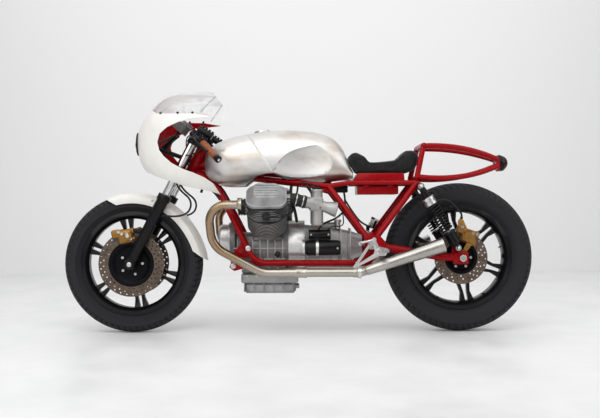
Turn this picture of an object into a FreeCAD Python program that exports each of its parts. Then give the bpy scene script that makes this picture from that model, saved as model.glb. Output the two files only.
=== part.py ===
"""A cafe racer motorcycle with a shaft-driven transverse V-twin, modelled at its real size.

Everything is laid out in a chassis frame: x forward from the rear axle, y to the rider's left,
z up from a level 6 mm above the ground, in millimetres. The finished solids are moved so that
the rider's seat point is the origin.
"""
import FreeCAD
import Part
import math
import os

V = FreeCAD.Vector

# Wheels and stance
WHEELBASE = 1505.0
FRONT_AXLE_HEIGHT = 314.0
REAR_AXLE_HEIGHT = 336.0
FRONT_TYRE_RADIUS = 320.0
REAR_TYRE_RADIUS = 342.0
FRONT_TYRE_WIDTH = 95.0
REAR_TYRE_WIDTH = 120.0
RIM_RADIUS = 240.0
RIM_OPEN_RADIUS = 206.0
BEAD_RADIUS = 228.0
SPOKE_GROUPS = 6
RUN_GAP = 0.3
SEAT_GAP = 0.3

# Steering
RAKE = 27.5
STEM_OFFSET = 45.0
FORK_HALF_SPREAD = 99.0
STANCHION_RADIUS = 17.5
SLIDER_RADIUS = 26.0
DUST_CAP_RADIUS = 31.0
FORK_TOP = 684.0
SLIDER_TOP = 352.0
LOWER_YOKE_AT = 478.0
HEAD_TUBE_LENGTH = 122.0
HEAD_TUBE_RADIUS = 30.0
HEAD_BORE_RADIUS = 16.0
STEM_RADIUS = 14.0
YOKE_THICKNESS = 26.0
FRONT_AXLE_RADIUS = 9.0

# Brakes
FRONT_DISC_RADIUS = 150.0
FRONT_DISC_BAND = 46.0
FRONT_DISC_Y = 67.0
REAR_DISC_RADIUS = 121.0
REAR_DISC_BAND = 46.0
REAR_DISC_Y = 76.0
DISC_THICKNESS = 5.0
DISC_HOLE_RADIUS = 3.4

# Frame
TUBE_RADIUS = 14.0
RAIL_RADIUS = 11.0
LOOP_RADIUS = 12.5
BACKBONE_RADIUS = 22.0
RAIL_Y = 108.0
RAIL_Z = 678.5
CRADLE_Y = 130.0
PLATE_Y = 126.0
PLATE_THICKNESS = 6.0
PIVOT = (REAR_TYRE_RADIUS + 70.0, REAR_AXLE_HEIGHT + 60.0)
TAIL_CLEARANCE = 27.0
SWINGARM_Y = 105.0
SHAFT_Y = 100.0
SWINGARM_RADIUS = 18.0
REAR_AXLE_RADIUS = 10.0
SHOCK_Y = 150.0
SHOCK_TOP = (193.0, RAIL_Z - 19.5)
SHOCK_BOTTOM = (27.0, REAR_AXLE_HEIGHT + 48.0)

# Engine
CRANK_HEIGHT = 395.0
CRANK_RADIUS = 107.4
CYLINDER_X = 870.0
CYLINDER_STAGGER = 10.0
CYLINDER_ANGLE = 45.0
BARREL_BASE = 108.0
BARREL_FIN_START = 34.0
BARREL_FINS = 10
HEAD_FINS = 7
FIN_PITCH = 9.0
FIN_THICKNESS = 3.0
BARREL_CORE_RADIUS = 58.0
BARREL_FIN_RADIUS = 90.0
HEAD_LENGTH = 196.0
HEAD_WIDTH = 156.0
HEAD_CORNER = 66.0
ROCKER_LENGTH = 178.0
ROCKER_WIDTH = 132.0
ROCKER_HEIGHT = 50.0

# Exhaust
HEADER_RADIUS = 19.0
SILENCER_RADIUS = 34.0
EXHAUST_Y = 170.0

# Bodywork
FAIRING_WALL = 4.0
SCREEN_WALL = 3.0
FAIRING_WAIST = 870.0
MUDGUARD_GAP = 6.5
MUDGUARD_WALL = 2.5
MUDGUARD_RADIUS = FRONT_TYRE_RADIUS + MUDGUARD_GAP + MUDGUARD_WALL
MUDGUARD_HALF_WIDTH = FRONT_TYRE_WIDTH / 2 + 14.5
MUDGUARD_SKIRT = 28.0
LAMP_RADIUS = 54.0
TAIL_LAMP_RADIUS = 36.0

# Hoses and cables
HOSE_RADIUS = 4.5
CABLE_RADIUS = 3.5

# The point on the seat that becomes the origin
RIDER = V(372.0, 0.0, 772.0)

SIN_RAKE = math.sin(math.radians(RAKE))
COS_RAKE = math.cos(math.radians(RAKE))
FRONT_AXLE = V(WHEELBASE, 0, FRONT_AXLE_HEIGHT)
REAR_AXLE = V(0, 0, REAR_AXLE_HEIGHT)
FORK_UP = V(-SIN_RAKE, 0, COS_RAKE)
FORK_AHEAD = V(COS_RAKE, 0, SIN_RAKE)
HEAD_BOTTOM_AT = LOWER_YOKE_AT + YOKE_THICKNESS / 2 + SEAT_GAP
HEAD_TOP_AT = HEAD_BOTTOM_AT + HEAD_TUBE_LENGTH
UPPER_YOKE_AT = HEAD_TOP_AT + SEAT_GAP + YOKE_THICKNESS / 2


def fork_point(along, side=0.0):
    """A point on a fork leg's centreline, so far up from the front axle."""
    return FRONT_AXLE + FORK_UP * along + V(0, side * FORK_HALF_SPREAD, 0)


def stem_point(along, ahead=0.0, y=0.0):
    """A point beside the steering axis, level with that height on the fork."""
    return FRONT_AXLE + FORK_UP * along + FORK_AHEAD * (ahead - STEM_OFFSET) + V(0, y, 0)


def on(angle, radius, centre):
    """A point on a circle in the side view."""
    return centre + V(radius * math.cos(angle), 0, radius * math.sin(angle))


def bar(start, end, radius):
    """A round bar from one point to another."""
    return Part.makeCylinder(radius, (end - start).Length, start, end - start)


def cone(start, end, r_start, r_end):
    """A tapered round bar."""
    return Part.makeCone(r_start, r_end, (end - start).Length, start, end - start)


def fuse(shapes):
    """One solid from several that overlap."""
    shapes = list(shapes)
    return shapes[0].multiFuse(shapes[1:]) if len(shapes) > 1 else shapes[0]


def cut(shape, tools):
    """The shape less its tools."""
    return shape.cut(list(tools))


def mirrored(shape):
    """The same shape on the other side of the motorcycle."""
    return shape.mirror(V(0, 0, 0), V(0, 1, 0))


def both_sides(shape):
    """A shape and its mirror image, as separate solids of one piece."""
    return Part.makeCompound([shape, mirrored(shape)])


def rounded_path(points, radii):
    """Straight runs joined by tangent arcs, one radius for each inner point."""
    edges = []
    start = points[0]
    for corner, after, radius in zip(points[1:-1], points[2:], radii):
        back = (start - corner).normalize()
        on = (after - corner).normalize()
        half = back.getAngle(on) / 2
        reach = radius / math.tan(half)
        first = corner + back * reach
        last = corner + on * reach
        middle_way = (back + on).normalize()
        middle = corner + middle_way * (radius / math.sin(half) - radius)
        if (first - start).Length > 1e-6:
            edges.append(Part.LineSegment(start, first).toShape())
        edges.append(Part.Arc(first, middle, last).toShape())
        start = last
    edges.append(Part.LineSegment(start, points[-1]).toShape())
    return Part.Wire(edges)


def tube(points, radius, bends):
    """A solid round tube along straight runs and arcs."""
    path = rounded_path(points, bends)
    along = points[1] - points[0]
    ring = Part.Wire(Part.makeCircle(radius, points[0], along))
    return path.makePipeShell([ring], True, False)


def arc_tube(start, middle, end, radius):
    """A solid round tube along one arc through three points."""
    path = Part.Wire(Part.Arc(start, middle, end).toShape())
    edge = path.Edges[0]
    ring = Part.Wire(Part.makeCircle(radius, start, edge.tangentAt(edge.FirstParameter)))
    return path.makePipeShell([ring], True, False)


def outline(points):
    """A face in the side view from (x, z) corners, at y 0."""
    return Part.Face(Part.makePolygon([V(x, 0, z) for x, z in points + points[:1]]))


def plate(points, y_low, y_high):
    """A flat plate cut to a side-view outline, between two widths."""
    return outline(points).translated(V(0, y_low, 0)).extrude(V(0, y_high - y_low, 0))


def curved_plate(points, y_low, y_high):
    """A plate whose side-view outline is one smooth closed curve."""
    curve = Part.BSplineCurve()
    curve.interpolate(Points=[V(x, y_low, z) for x, z in points], PeriodicFlag=True)
    face = Part.Face(Part.Wire(curve.toShape()))
    return face.extrude(V(0, y_high - y_low, 0))


def box(x_low, x_high, y_low, y_high, z_low, z_high):
    """A box between its limits."""
    return Part.makeBox(x_high - x_low, y_high - y_low, z_high - z_low, V(x_low, y_low, z_low))


def bevelled_box(x_low, x_high, y_low, y_high, z_low, z_high, bevel):
    """A box with every edge bevelled."""
    block = box(x_low, x_high, y_low, y_high, z_low, z_high)
    return block.makeChamfer(bevel, block.Edges)


def upright_edges(shape):
    """The edges of an upright block that run straight up."""
    return [e for e in shape.Edges if abs(e.Vertexes[0].Z - e.Vertexes[-1].Z) > 1]


def turned(profile, centre):
    """A ring or disc turned about the wheel axis from (radius, y) corners."""
    face = Part.Face(Part.makePolygon([V(r, y, 0) for r, y in profile + profile[:1]]))
    return face.revolve(V(0, 0, 0), V(0, 1, 0), 360).translated(centre)


def section(x, top, bottom, half, waist, power, count=24):
    """A closed smooth cross-section with its own height above and below its widest level."""
    points = []
    for i in range(count):
        angle = 2 * math.pi * i / count
        c, s = math.cos(angle), math.sin(angle)
        y = half * math.copysign(abs(c) ** (2 / power), c)
        reach = top - waist if s > 0 else waist - bottom
        z = waist + reach * math.copysign(abs(s) ** (2 / power), s)
        points.append(V(x, y, z))
    curve = Part.BSplineCurve()
    curve.interpolate(Points=points, PeriodicFlag=True)
    return Part.Wire(curve.toShape())


def loft(sections):
    """A smooth solid through cross-sections."""
    return Part.makeLoft(sections, True, False)


def tyre(radius, width, centre):
    """A round-shouldered tyre seated on its rim, without its tread pattern."""
    half = width / 2
    shoulder = radius - 0.42 * half
    wall = 0.5 * (shoulder + BEAD_RADIUS)
    bead_half = 0.62 * half
    at = lambda r, y: V(r, y, 0)
    edges = [
        Part.Arc(at(shoulder, half), at(radius, 0), at(shoulder, -half)).toShape(),
        Part.Arc(at(shoulder, -half), at(wall, -half - 2), at(BEAD_RADIUS + 12, -bead_half)).toShape(),
        Part.LineSegment(at(BEAD_RADIUS + 12, -bead_half), at(BEAD_RADIUS, -bead_half)).toShape(),
        Part.LineSegment(at(BEAD_RADIUS, -bead_half), at(BEAD_RADIUS, bead_half)).toShape(),
        Part.LineSegment(at(BEAD_RADIUS, bead_half), at(BEAD_RADIUS + 12, bead_half)).toShape(),
        Part.Arc(at(BEAD_RADIUS + 12, bead_half), at(wall, half + 2), at(shoulder, half)).toShape(),
    ]
    face = Part.Face(Part.Wire(edges))
    return face.revolve(V(0, 0, 0), V(0, 1, 0), 360).translated(centre)


def cast_wheel(centre, width, hub_radius, hub_half, bore, phase, spread, splay):
    """A cast wheel: dropped-centre rim, six pairs of spokes and a bored hub.

    spread is half the distance between the two spokes of a pair at the hub, and splay at the rim.
    """
    bead_half = 0.62 * width / 2
    flange_half = bead_half + 7
    rim = turned(
        [
            (RIM_RADIUS, flange_half), (RIM_RADIUS, bead_half + RUN_GAP),
            (BEAD_RADIUS - RUN_GAP, bead_half + RUN_GAP), (BEAD_RADIUS - RUN_GAP, 16),
            (RIM_OPEN_RADIUS + 8, 12), (RIM_OPEN_RADIUS + 8, -12),
            (BEAD_RADIUS - RUN_GAP, -16), (BEAD_RADIUS - RUN_GAP, -bead_half - RUN_GAP),
            (RIM_RADIUS, -bead_half - RUN_GAP), (RIM_RADIUS, -flange_half),
            (BEAD_RADIUS - 8, -flange_half), (RIM_OPEN_RADIUS, -19),
            (RIM_OPEN_RADIUS, 19), (BEAD_RADIUS - 8, flange_half),
        ],
        V(0, 0, 0),
    )
    hub = turned([(bore, -hub_half), (hub_radius, -hub_half), (hub_radius * 0.8, 0),
                  (hub_radius, hub_half), (bore, hub_half)], V(0, 0, 0))
    pieces = [rim, hub]
    rim_reach = RIM_OPEN_RADIUS + 6
    for group in range(SPOKE_GROUPS):
        angle = phase + group * 360.0 / SPOKE_GROUPS
        for side in (1, -1):
            inner = spread * side
            outer = splay * side
            arm = plate(
                [
                    (hub_radius * 0.55, inner - 9), (rim_reach * 0.78, outer - 7),
                    (rim_reach, outer + 5 * side - 14), (rim_reach, outer + 5 * side + 14),
                    (rim_reach * 0.78, outer + 7), (hub_radius * 0.55, inner + 9),
                ],
                -13, 13,
            )
            arm.rotate(V(0, 0, 0), V(0, 1, 0), -angle)
            pieces.append(arm)
    return fuse(pieces).removeSplitter().translated(centre)


def disc(radius, band, y, hub_radius, centre, rows, per_row):
    """A cross-drilled brake disc on its dished carrier."""
    half = DISC_THICKNESS / 2
    inner = radius - band
    ring = turned([(inner, y - half), (radius, y - half), (radius, y + half), (inner, y + half)], V(0, 0, 0))
    drills = []
    for row in range(rows):
        r = inner + band * (row + 0.7) / (rows + 0.4)
        for i in range(per_row):
            angle = 2 * math.pi * (i + 0.5 * (row % 2) + 0.12 * row) / per_row
            drills.append(Part.makeCylinder(
                DISC_HOLE_RADIUS, DISC_THICKNESS + 2,
                V(r * math.cos(angle), y - half - 1, r * math.sin(angle)), V(0, 1, 0)))
    ring = cut(ring, drills)
    inward = -1 if y > 0 else 1
    carrier = turned(
        [(hub_radius, y + inward * 14), (inner * 0.72, y + inward * 14), (inner * 0.9, y - half),
         (inner + 3, y - half), (inner + 3, y + half), (inner * 0.86, y + half),
         (inner * 0.68, y + inward * 8), (hub_radius, y + inward * 8)],
        V(0, 0, 0),
    )
    return fuse([ring, carrier]).translated(centre)


def front_wheel_parts():
    """The front tyre, cast wheel and pair of discs."""
    hub_half = FRONT_DISC_Y - 14 - SEAT_GAP
    wheel = cast_wheel(FRONT_AXLE, FRONT_TYRE_WIDTH, 62.0, hub_half,
                       FRONT_AXLE_RADIUS + RUN_GAP, 80.5, 15.0, 15.0)
    left = disc(FRONT_DISC_RADIUS, FRONT_DISC_BAND, FRONT_DISC_Y, 26.0, FRONT_AXLE, 3, 30)
    return {
        "front_tyre": tyre(FRONT_TYRE_RADIUS, FRONT_TYRE_WIDTH, FRONT_AXLE),
        "front_wheel": wheel,
        "front_discs": both_sides(left),
    }


def rear_wheel_parts():
    """The rear tyre, cast wheel and single disc."""
    hub_half = REAR_DISC_Y - 14 - SEAT_GAP
    wheel = cast_wheel(REAR_AXLE, REAR_TYRE_WIDTH, 64.0, hub_half,
                       REAR_AXLE_RADIUS + RUN_GAP, 79.0, 36.0, 15.0)
    return {
        "rear_tyre": tyre(REAR_TYRE_RADIUS, REAR_TYRE_WIDTH, REAR_AXLE),
        "rear_wheel": wheel,
        "rear_disc": disc(REAR_DISC_RADIUS, REAR_DISC_BAND, REAR_DISC_Y, 28.0, REAR_AXLE, 3, 24),
    }


def yoke(along, clamp_radius, bores):
    """A fork yoke: three bosses joined by two arms, bored for what it clamps."""
    low = -FORK_UP * (YOKE_THICKNESS / 2)
    thick = FORK_UP * YOKE_THICKNESS
    stem = stem_point(along)
    legs = [fork_point(along, s) for s in (1, -1)]
    pieces = [Part.makeCylinder(33, YOKE_THICKNESS, stem + low, FORK_UP)]
    for leg in legs:
        pieces.append(Part.makeCylinder(clamp_radius, YOKE_THICKNESS, leg + low, FORK_UP))
        across = (leg - stem).normalize()
        side = across.cross(FORK_UP).normalize()
        corners = [stem + side * 24, leg + side * 19, leg - side * 19, stem - side * 24]
        web = Part.Face(Part.makePolygon([c + low for c in corners + corners[:1]]))
        pieces.append(web.extrude(thick))
    body = fuse(pieces).removeSplitter()
    return cut(body, bores)


def steering_parts():
    """Yokes, fork legs, handlebars and grips: everything that turns except the wheel."""
    stanchion_bores = [
        Part.makeCylinder(STANCHION_RADIUS + RUN_GAP / 3, 260, fork_point(UPPER_YOKE_AT - 200, s), FORK_UP)
        for s in (1, -1)
    ]
    stem_low = LOWER_YOKE_AT - YOKE_THICKNESS / 2
    lower = yoke(LOWER_YOKE_AT, 27.0, stanchion_bores)
    stem_top = UPPER_YOKE_AT - YOKE_THICKNESS / 2 - SEAT_GAP
    stem = bar(stem_point(stem_low), stem_point(stem_top), STEM_RADIUS)
    nut = Part.makeCylinder(17, 12, stem_point(UPPER_YOKE_AT + YOKE_THICKNESS / 2), FORK_UP)
    upper = fuse([yoke(UPPER_YOKE_AT, 25.0, stanchion_bores), nut])
    stanchion = bar(fork_point(SLIDER_TOP - 40, 1), fork_point(FORK_TOP, 1), STANCHION_RADIUS)
    return {
        "lower_yoke": fuse([lower, stem]),
        "upper_yoke": upper,
        "stanchions": both_sides(stanchion),
        "fork_sliders": both_sides(slider()),
        "front_axle": bar(FRONT_AXLE - V(0, FORK_HALF_SPREAD + 20, 0),
                          FRONT_AXLE + V(0, FORK_HALF_SPREAD + 20, 0), FRONT_AXLE_RADIUS),
        "clip_on_bars": both_sides(clip_on()),
        "grips": both_sides(grip()),
        "lever_perches": both_sides(lever_perch()),
        "front_calipers": both_sides(front_caliper()),
        "front_mudguard": mudguard(),
        "front_brake_hoses": both_sides(front_hose()),
    }


def slider():
    """The left lower fork leg with its dust cap, axle eye and lugs."""
    foot = fork_point(0, 1)
    body = cone(fork_point(20, 1), fork_point(SLIDER_TOP - 70, 1), 22.0, SLIDER_RADIUS)
    shoulder = bar(fork_point(SLIDER_TOP - 71, 1), fork_point(SLIDER_TOP - 26, 1), SLIDER_RADIUS + 1.5)
    cap = bar(fork_point(SLIDER_TOP - 27, 1), fork_point(SLIDER_TOP, 1), DUST_CAP_RADIUS)
    eye = Part.makeCylinder(24, 40, foot - V(0, 20, 0), V(0, 1, 0))
    guard_lug = bar(
        V(fork_point(285).x, MUDGUARD_HALF_WIDTH + SEAT_GAP, fork_point(285).z),
        V(fork_point(285).x, FORK_HALF_SPREAD, fork_point(285).z), 9.0)
    lugs = [
        plate(
            [
                (fork_point(at).x - 6, fork_point(at).z - 12), (fork_point(at).x + reach, fork_point(at).z - 4),
                (fork_point(at).x + reach, fork_point(at).z + 14), (fork_point(at).x - 6, fork_point(at).z + 12),
            ],
            FORK_HALF_SPREAD - 9.7, FORK_HALF_SPREAD + 2,
        )
        for at, reach in ((114, 36), (165, 60))
    ]
    body = fuse([body, shoulder, cap, eye, guard_lug] + lugs)
    bore = Part.makeCylinder(STANCHION_RADIUS + RUN_GAP / 3, 60, fork_point(SLIDER_TOP - 45, 1), FORK_UP)
    axle_bore = Part.makeCylinder(FRONT_AXLE_RADIUS + 0.05, 60, foot - V(0, 30, 0), V(0, 1, 0))
    return cut(body, [bore, axle_bore])


def clip_on_line():
    """Where the left handlebar starts and ends, and the two ends of its grip."""
    root = V(1219, 102, 904)
    inner = V(1160, 200, 853)
    outer = V(1087, 312, 782)
    return root, inner, outer


def clip_on():
    """The left clip-on: a split clamp round the stanchion and its bar."""
    root, inner, outer = clip_on_line()
    low = fork_point(UPPER_YOKE_AT + YOKE_THICKNESS / 2 + 8, 1)
    clamp = Part.makeCylinder(25, 30, low, FORK_UP)
    boss = bar(fork_point(UPPER_YOKE_AT + 38, 1), root, 10.0)
    tube_bar = bar(root, outer, 11.0)
    bore = Part.makeCylinder(STANCHION_RADIUS + RUN_GAP / 3, 90, low - FORK_UP * 30, FORK_UP)
    knuckle = Part.makeSphere(13.0, root)
    yoke_eye = Part.makeCylinder(26.0, YOKE_THICKNESS + 2, fork_point(UPPER_YOKE_AT - YOKE_THICKNESS / 2, 1), FORK_UP)
    return cut(fuse([clamp, boss, knuckle, tube_bar]), [bore, yoke_eye])


def grip():
    """The left grip with its flange and bar-end weight."""
    root, inner, outer = clip_on_line()
    along = (outer - inner).normalize()
    end = outer + along * 4
    sleeve = cone(inner, end, 17.0, 15.5)
    flange = bar(inner, inner + along * 6, 24.0)
    weight = bar(end, end + along * 16, 16.0)
    bore = bar(root, outer + along * 0.2, 11.0 + RUN_GAP / 3)
    return cut(fuse([sleeve, flange, weight]), [bore])


def lever_perch():
    """The left control perch: clamp, finned cylinder body and lever."""
    root, inner, outer = clip_on_line()
    along = (outer - inner).normalize()
    spot = inner - along * 34
    clamp = bar(spot, spot + along * 22, 19.0)
    start = spot + along * 11 + V(0, 0, 52)
    post = bar(spot + along * 11, start, 8.0)
    back = V(-0.83, 0, -0.56).normalize()
    high = V(-0.56, 0, 0.83)
    body = bar(start - back * 10, start + back * 62, 15.0)
    knobs = [bar(start + back * (6 + 16 * i), start + back * (6 + 16 * i) + high * 22, 6.0) for i in range(4)]
    ahead = FORK_AHEAD * 42
    pivot = spot + along * 11 + ahead
    arm = bar(spot + along * 11, pivot, 8.0)
    blade = tube([pivot, pivot + along * 60 + FORK_AHEAD * 6, pivot + along * 150 - FORK_AHEAD * 4],
                 5.0, [120.0])
    tip = Part.makeSphere(7.0, pivot + along * 150 - FORK_AHEAD * 4)
    bore = bar(root, outer, 11.0 + RUN_GAP / 3)
    return cut(fuse([clamp, post, body] + knobs + [arm, blade, tip]), [bore])


def caliper(centre, disc_y, disc_radius, reach, turn):
    """A twin-piston caliper that straddles its disc, with its bridge and bolts.

    centre is the axle, reach the radius at which the pistons bear, turn the angle up from ahead.
    """
    half = 27.0
    body = bevelled_box(reach - 30, reach + 34, -34, 34, -half, half, 7.0)
    piston = Part.makeCylinder(21, 8, V(reach, 0, half - 1), V(0, 0, 1))
    ear_high = bevelled_box(reach + 2, reach + 40, 20, 62, 6, 24, 6.0)
    ear_low = bevelled_box(reach - 34, reach - 4, -46, -18, 6, 22, 6.0)
    ear_side = bevelled_box(reach + 8, reach + 36, -46, -22, 2, 22, 6.0)
    slot = box(reach - 60, disc_radius + 4, -80, 80, -DISC_THICKNESS / 2 - 2, DISC_THICKNESS / 2 + 2)
    window = box(reach + 4, reach + 40, -12, 12, -14, 14)
    shape = cut(fuse([body, piston, ear_high, ear_low, ear_side]), [slot, window])
    shape.rotate(V(0, 0, 0), V(1, 0, 0), -90)
    shape.rotate(V(0, 0, 0), V(0, 1, 0), -turn)
    return shape.translated(centre + V(0, disc_y, 0))


def front_caliper():
    """The left front caliper, ahead of its fork leg."""
    return caliper(FRONT_AXLE, FRONT_DISC_Y, FRONT_DISC_RADIUS, 126.0, 80.0)


def front_hose():
    """The left front brake hose, from the lower yoke down behind the leg to its slider."""
    start = stem_point(LOWER_YOKE_AT - YOKE_THICKNESS / 2 - SEAT_GAP, STEM_OFFSET - 6, 58)
    end = fork_point(265, 1) - FORK_AHEAD * (SLIDER_RADIUS + 4.5)
    path = [start, start - FORK_UP * 40, V(1240, 84, 600), V(1268, FORK_HALF_SPREAD, 543), end]
    hose = tube(path, HOSE_RADIUS, [40.0, 40.0, 45.0])
    back = (path[-2] - end).normalize()
    unions = [bar(start, start - FORK_UP * 14, HOSE_RADIUS + 2), bar(end, end + back * 14, HOSE_RADIUS + 2)]
    return fuse([hose] + unions)


def mudguard():
    """The front mudguard: a crowned blade that follows the tyre and flares at its pointed ends."""
    start, turn, end = math.radians(66), math.radians(140), math.radians(171)
    tail_radius = 420.0
    joint = on(turn, MUDGUARD_RADIUS, FRONT_AXLE)
    inward = (FRONT_AXLE - joint).normalize()
    tail_centre = joint + inward * tail_radius
    first = Part.Arc(on(start, MUDGUARD_RADIUS, FRONT_AXLE),
                     on((start + turn) / 2, MUDGUARD_RADIUS, FRONT_AXLE), joint).toShape()
    second = Part.Arc(joint, on((turn + end) / 2, tail_radius, tail_centre),
                      on(end, tail_radius, tail_centre)).toShape()
    path = Part.Wire([first, second])
    origin = on(start, MUDGUARD_RADIUS, FRONT_AXLE)
    outward = (origin - FRONT_AXLE).normalize()
    half, wall, shoulder = MUDGUARD_HALF_WIDTH, MUDGUARD_WALL, 24.0
    hem = shoulder + MUDGUARD_SKIRT
    corners = [origin + V(0, y, 0) - outward * drop for y, drop in (
        (half, shoulder), (half, hem), (half - wall, hem), (half - wall, shoulder + 1),
        (-half + wall, shoulder + 1), (-half + wall, hem), (-half, hem), (-half, shoulder))]
    crown = [Part.LineSegment(a, b).toShape() for a, b in zip(corners[:3], corners[1:4])]
    crown.append(Part.Arc(corners[3], origin - outward * wall, corners[4]).toShape())
    crown += [Part.LineSegment(a, b).toShape() for a, b in zip(corners[4:7], corners[5:])]
    crown.append(Part.Arc(corners[7], origin, corners[0]).toShape())
    blade = path.makePipeShell([Part.Wire(crown)], True, False)
    points = []
    for angle, turned_in, radius, centre in ((start, 0.36, MUDGUARD_RADIUS, FRONT_AXLE),
                                             (end, -0.34, tail_radius, tail_centre)):
        corners = [on(angle, radius + 4, centre), on(angle - turned_in / 2, radius - 90, centre),
                   on(angle + turned_in, radius - 90, centre)]
        points.append(plate([(c.x, c.z) for c in corners], -2 * half, 2 * half))
    return cut(blade, points)


def main_frame():
    """Head tube, backbone, upper tubes, seat triangle and pivot plates, welded as one."""
    head = cut(
        bar(stem_point(HEAD_BOTTOM_AT), stem_point(HEAD_TOP_AT), HEAD_TUBE_RADIUS),
        [bar(stem_point(HEAD_BOTTOM_AT - 5), stem_point(HEAD_TOP_AT + 5), HEAD_BORE_RADIUS)],
    )
    pieces = [head, bar(BACKBONE_START, BACKBONE_END, BACKBONE_RADIUS)]
    foot_y = RAIL_Y + 9
    front, rear = V(604, 0, RAIL_Z - 14.5), V(203, 0, RAIL_Z)
    for side in (1, -1):
        out = V(0, side * RAIL_Y, 0)
        rail = tube([rear + out - V(4, 0, 0), V(510, side * RAIL_Y, RAIL_Z), front + out], RAIL_RADIUS, [200.0])
        seat_tube = bar(front + out, V(PIVOT[0] + 22, side * foot_y, PIVOT[1] + 40), TUBE_RADIUS)
        stay = bar(rear + out, V(PIVOT[0] - 26, side * foot_y, PIVOT[1] + 40), TUBE_RADIUS)
        upper = bar(stem_point(HEAD_BOTTOM_AT + 22, -34, side * 16), front + out, TUBE_RADIUS - 1)
        gusset = plate([(front.x + dx, front.z + dz) for dx, dz in ((0, 8), (96, 14), (36, -19), (-19, -36))],
                       RAIL_Y - 2, RAIL_Y + 2)
        pivot = plate([(PIVOT[0] + dx, PIVOT[1] + dz) for dx, dz in PIVOT_PLATE], PLATE_Y, PLATE_Y + PLATE_THICKNESS)
        ear = plate([(SHOCK_TOP[0] + dx, SHOCK_TOP[1] + dz)
                     for dx, dz in ((22, 31), (22, -4), (3, -16), (-13, -7), (-11, 17))], RAIL_Y - 4, RAIL_Y + 4)
        boss = bar(V(SHOCK_TOP[0], 104, SHOCK_TOP[1]), V(SHOCK_TOP[0], 126, SHOCK_TOP[1]), 12.0)
        if side < 0:
            gusset, pivot, ear, boss = (mirrored(s) for s in (gusset, pivot, ear, boss))
        pieces += [rail, seat_tube, stay, upper, gusset, pivot, ear, boss]
    for spot, radius, reach in ((front, RAIL_RADIUS, RAIL_Y), (rear, RAIL_RADIUS, RAIL_Y),
                                (V(BRACE[0], 0, BRACE[1]), BRACE_RADIUS, PLATE_Y)):
        pieces.append(bar(spot - V(0, reach, 0), spot + V(0, reach, 0), radius))
    pieces.append(bar(BACKBONE_END, front, 18.0))
    pieces.append(box(508, 600, -RAIL_Y, RAIL_Y, SHELF_Z, SHELF_Z + 2.5))
    body = fuse(pieces)
    bores = [bar(V(PIVOT[0], -150, PIVOT[1]), V(PIVOT[0], 150, PIVOT[1]), 9.0),
             bar(stem_point(HEAD_BOTTOM_AT - 5), stem_point(HEAD_TOP_AT + 5), HEAD_BORE_RADIUS)]
    return cut(body, bores)


BACKBONE_START = stem_point(HEAD_BOTTOM_AT + 50, -14)
BACKBONE_END = V(604, 0, 706)
SHELF_Z = RAIL_Z - RAIL_RADIUS
BRACE = (PIVOT[0] - 2, PIVOT[1] + 50)
BRACE_RADIUS = 9.0
PIVOT_PLATE = [(34, 46), (-36, 46), (-66, 12), (-62, -24), (-10, -66), (8, -92), (66, -92), (58, -62),
               (34, -44), (28, -4)]


LUG_Y = 112.3
MOUNT = (1000, 366)
CRADLE_HEAD = stem_point(HEAD_BOTTOM_AT + 16, -30, 44)
CRADLE_BEND = V(1110, 72, 662)


def cradle(side):
    """One bolt-on engine cradle: downtube, bend and lower rail, with its engine lugs."""
    path = [CRADLE_HEAD, CRADLE_BEND, V(1030, 108, 508), V(938, CRADLE_Y, 319),
            V(PIVOT[0] + 72, CRADLE_Y, PIVOT[1] - 79)]
    rail = tube(path, TUBE_RADIUS, [160.0, 400.0, 90.0])
    mount = plate([(1000, 412), (972, 402), (955, 352), (1010, 330), (1040, 352)],
                  LUG_Y, LUG_Y + PLATE_THICKNESS)
    horn = plate([(1052, 300), (1030, 283), (980, 296), (840, 308), (840, 322), (1020, 330), (1046, 316)],
                 LUG_Y + 5, LUG_Y + 5 + PLATE_THICKNESS)
    bolt = bar(V(MOUNT[0], LUG_Y + 1, MOUNT[1]), V(MOUNT[0], LUG_Y + 16, MOUNT[1]), 9.0)
    body = fuse([rail, mount, horn, bolt])
    return body if side > 0 else mirrored(body)


def tail_loop():
    """The open tail hoop that carries the tail lamp."""
    pieces = []
    for side in (1, -1):
        foot = V(203, side * RAIL_Y, RAIL_Z + RAIL_RADIUS + LOOP_RADIUS + SEAT_GAP)
        top = V(172, side * 100, 846)
        dip = V(0, side * 84, REAR_AXLE.z + REAR_TYRE_RADIUS + TAIL_CLEARANCE)
        lower = arc_tube(V(186, side * RAIL_Y, foot.z), dip, V(-184, side * 26, 757), LOOP_RADIUS)
        upper = arc_tube(V(172, side * 100, 844), V(2, side * 80, 835), V(-184, side * 26, 784), LOOP_RADIUS)
        pieces += [bar(foot, top, LOOP_RADIUS), lower, upper, Part.makeSphere(LOOP_RADIUS, top),
                   bar(V(186, side * RAIL_Y, foot.z), foot, LOOP_RADIUS), Part.makeSphere(LOOP_RADIUS, foot)]
    pieces.append(bar(V(172, -100, 846), V(172, 100, 846), LOOP_RADIUS))
    pieces.append(bar(TAIL_PLATE, TAIL_PLATE - TAIL_OUT * 14, TAIL_LAMP_RADIUS))
    return cut(fuse(pieces), [bar(TAIL_PLATE, TAIL_PLATE + TAIL_OUT * 60, 90.0)])


TAIL_OUT = V(-0.976, 0, 0.217)
TAIL_PLATE = V(-191, 0, 768)


def tail_lamp():
    """The round tail lamp: a black cup and its domed lens."""
    back = TAIL_PLATE + TAIL_OUT * SEAT_GAP
    cup = bar(back, back + TAIL_OUT * 16, TAIL_LAMP_RADIUS + 2)
    centre = back + TAIL_OUT * 8
    dome = Part.makeSphere(TAIL_LAMP_RADIUS, centre)
    front = bar(back + TAIL_OUT * 12, back + TAIL_OUT * 60, 60)
    return fuse([cup, dome.common(front)])


BLOCK_TOP = 28.0


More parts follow.
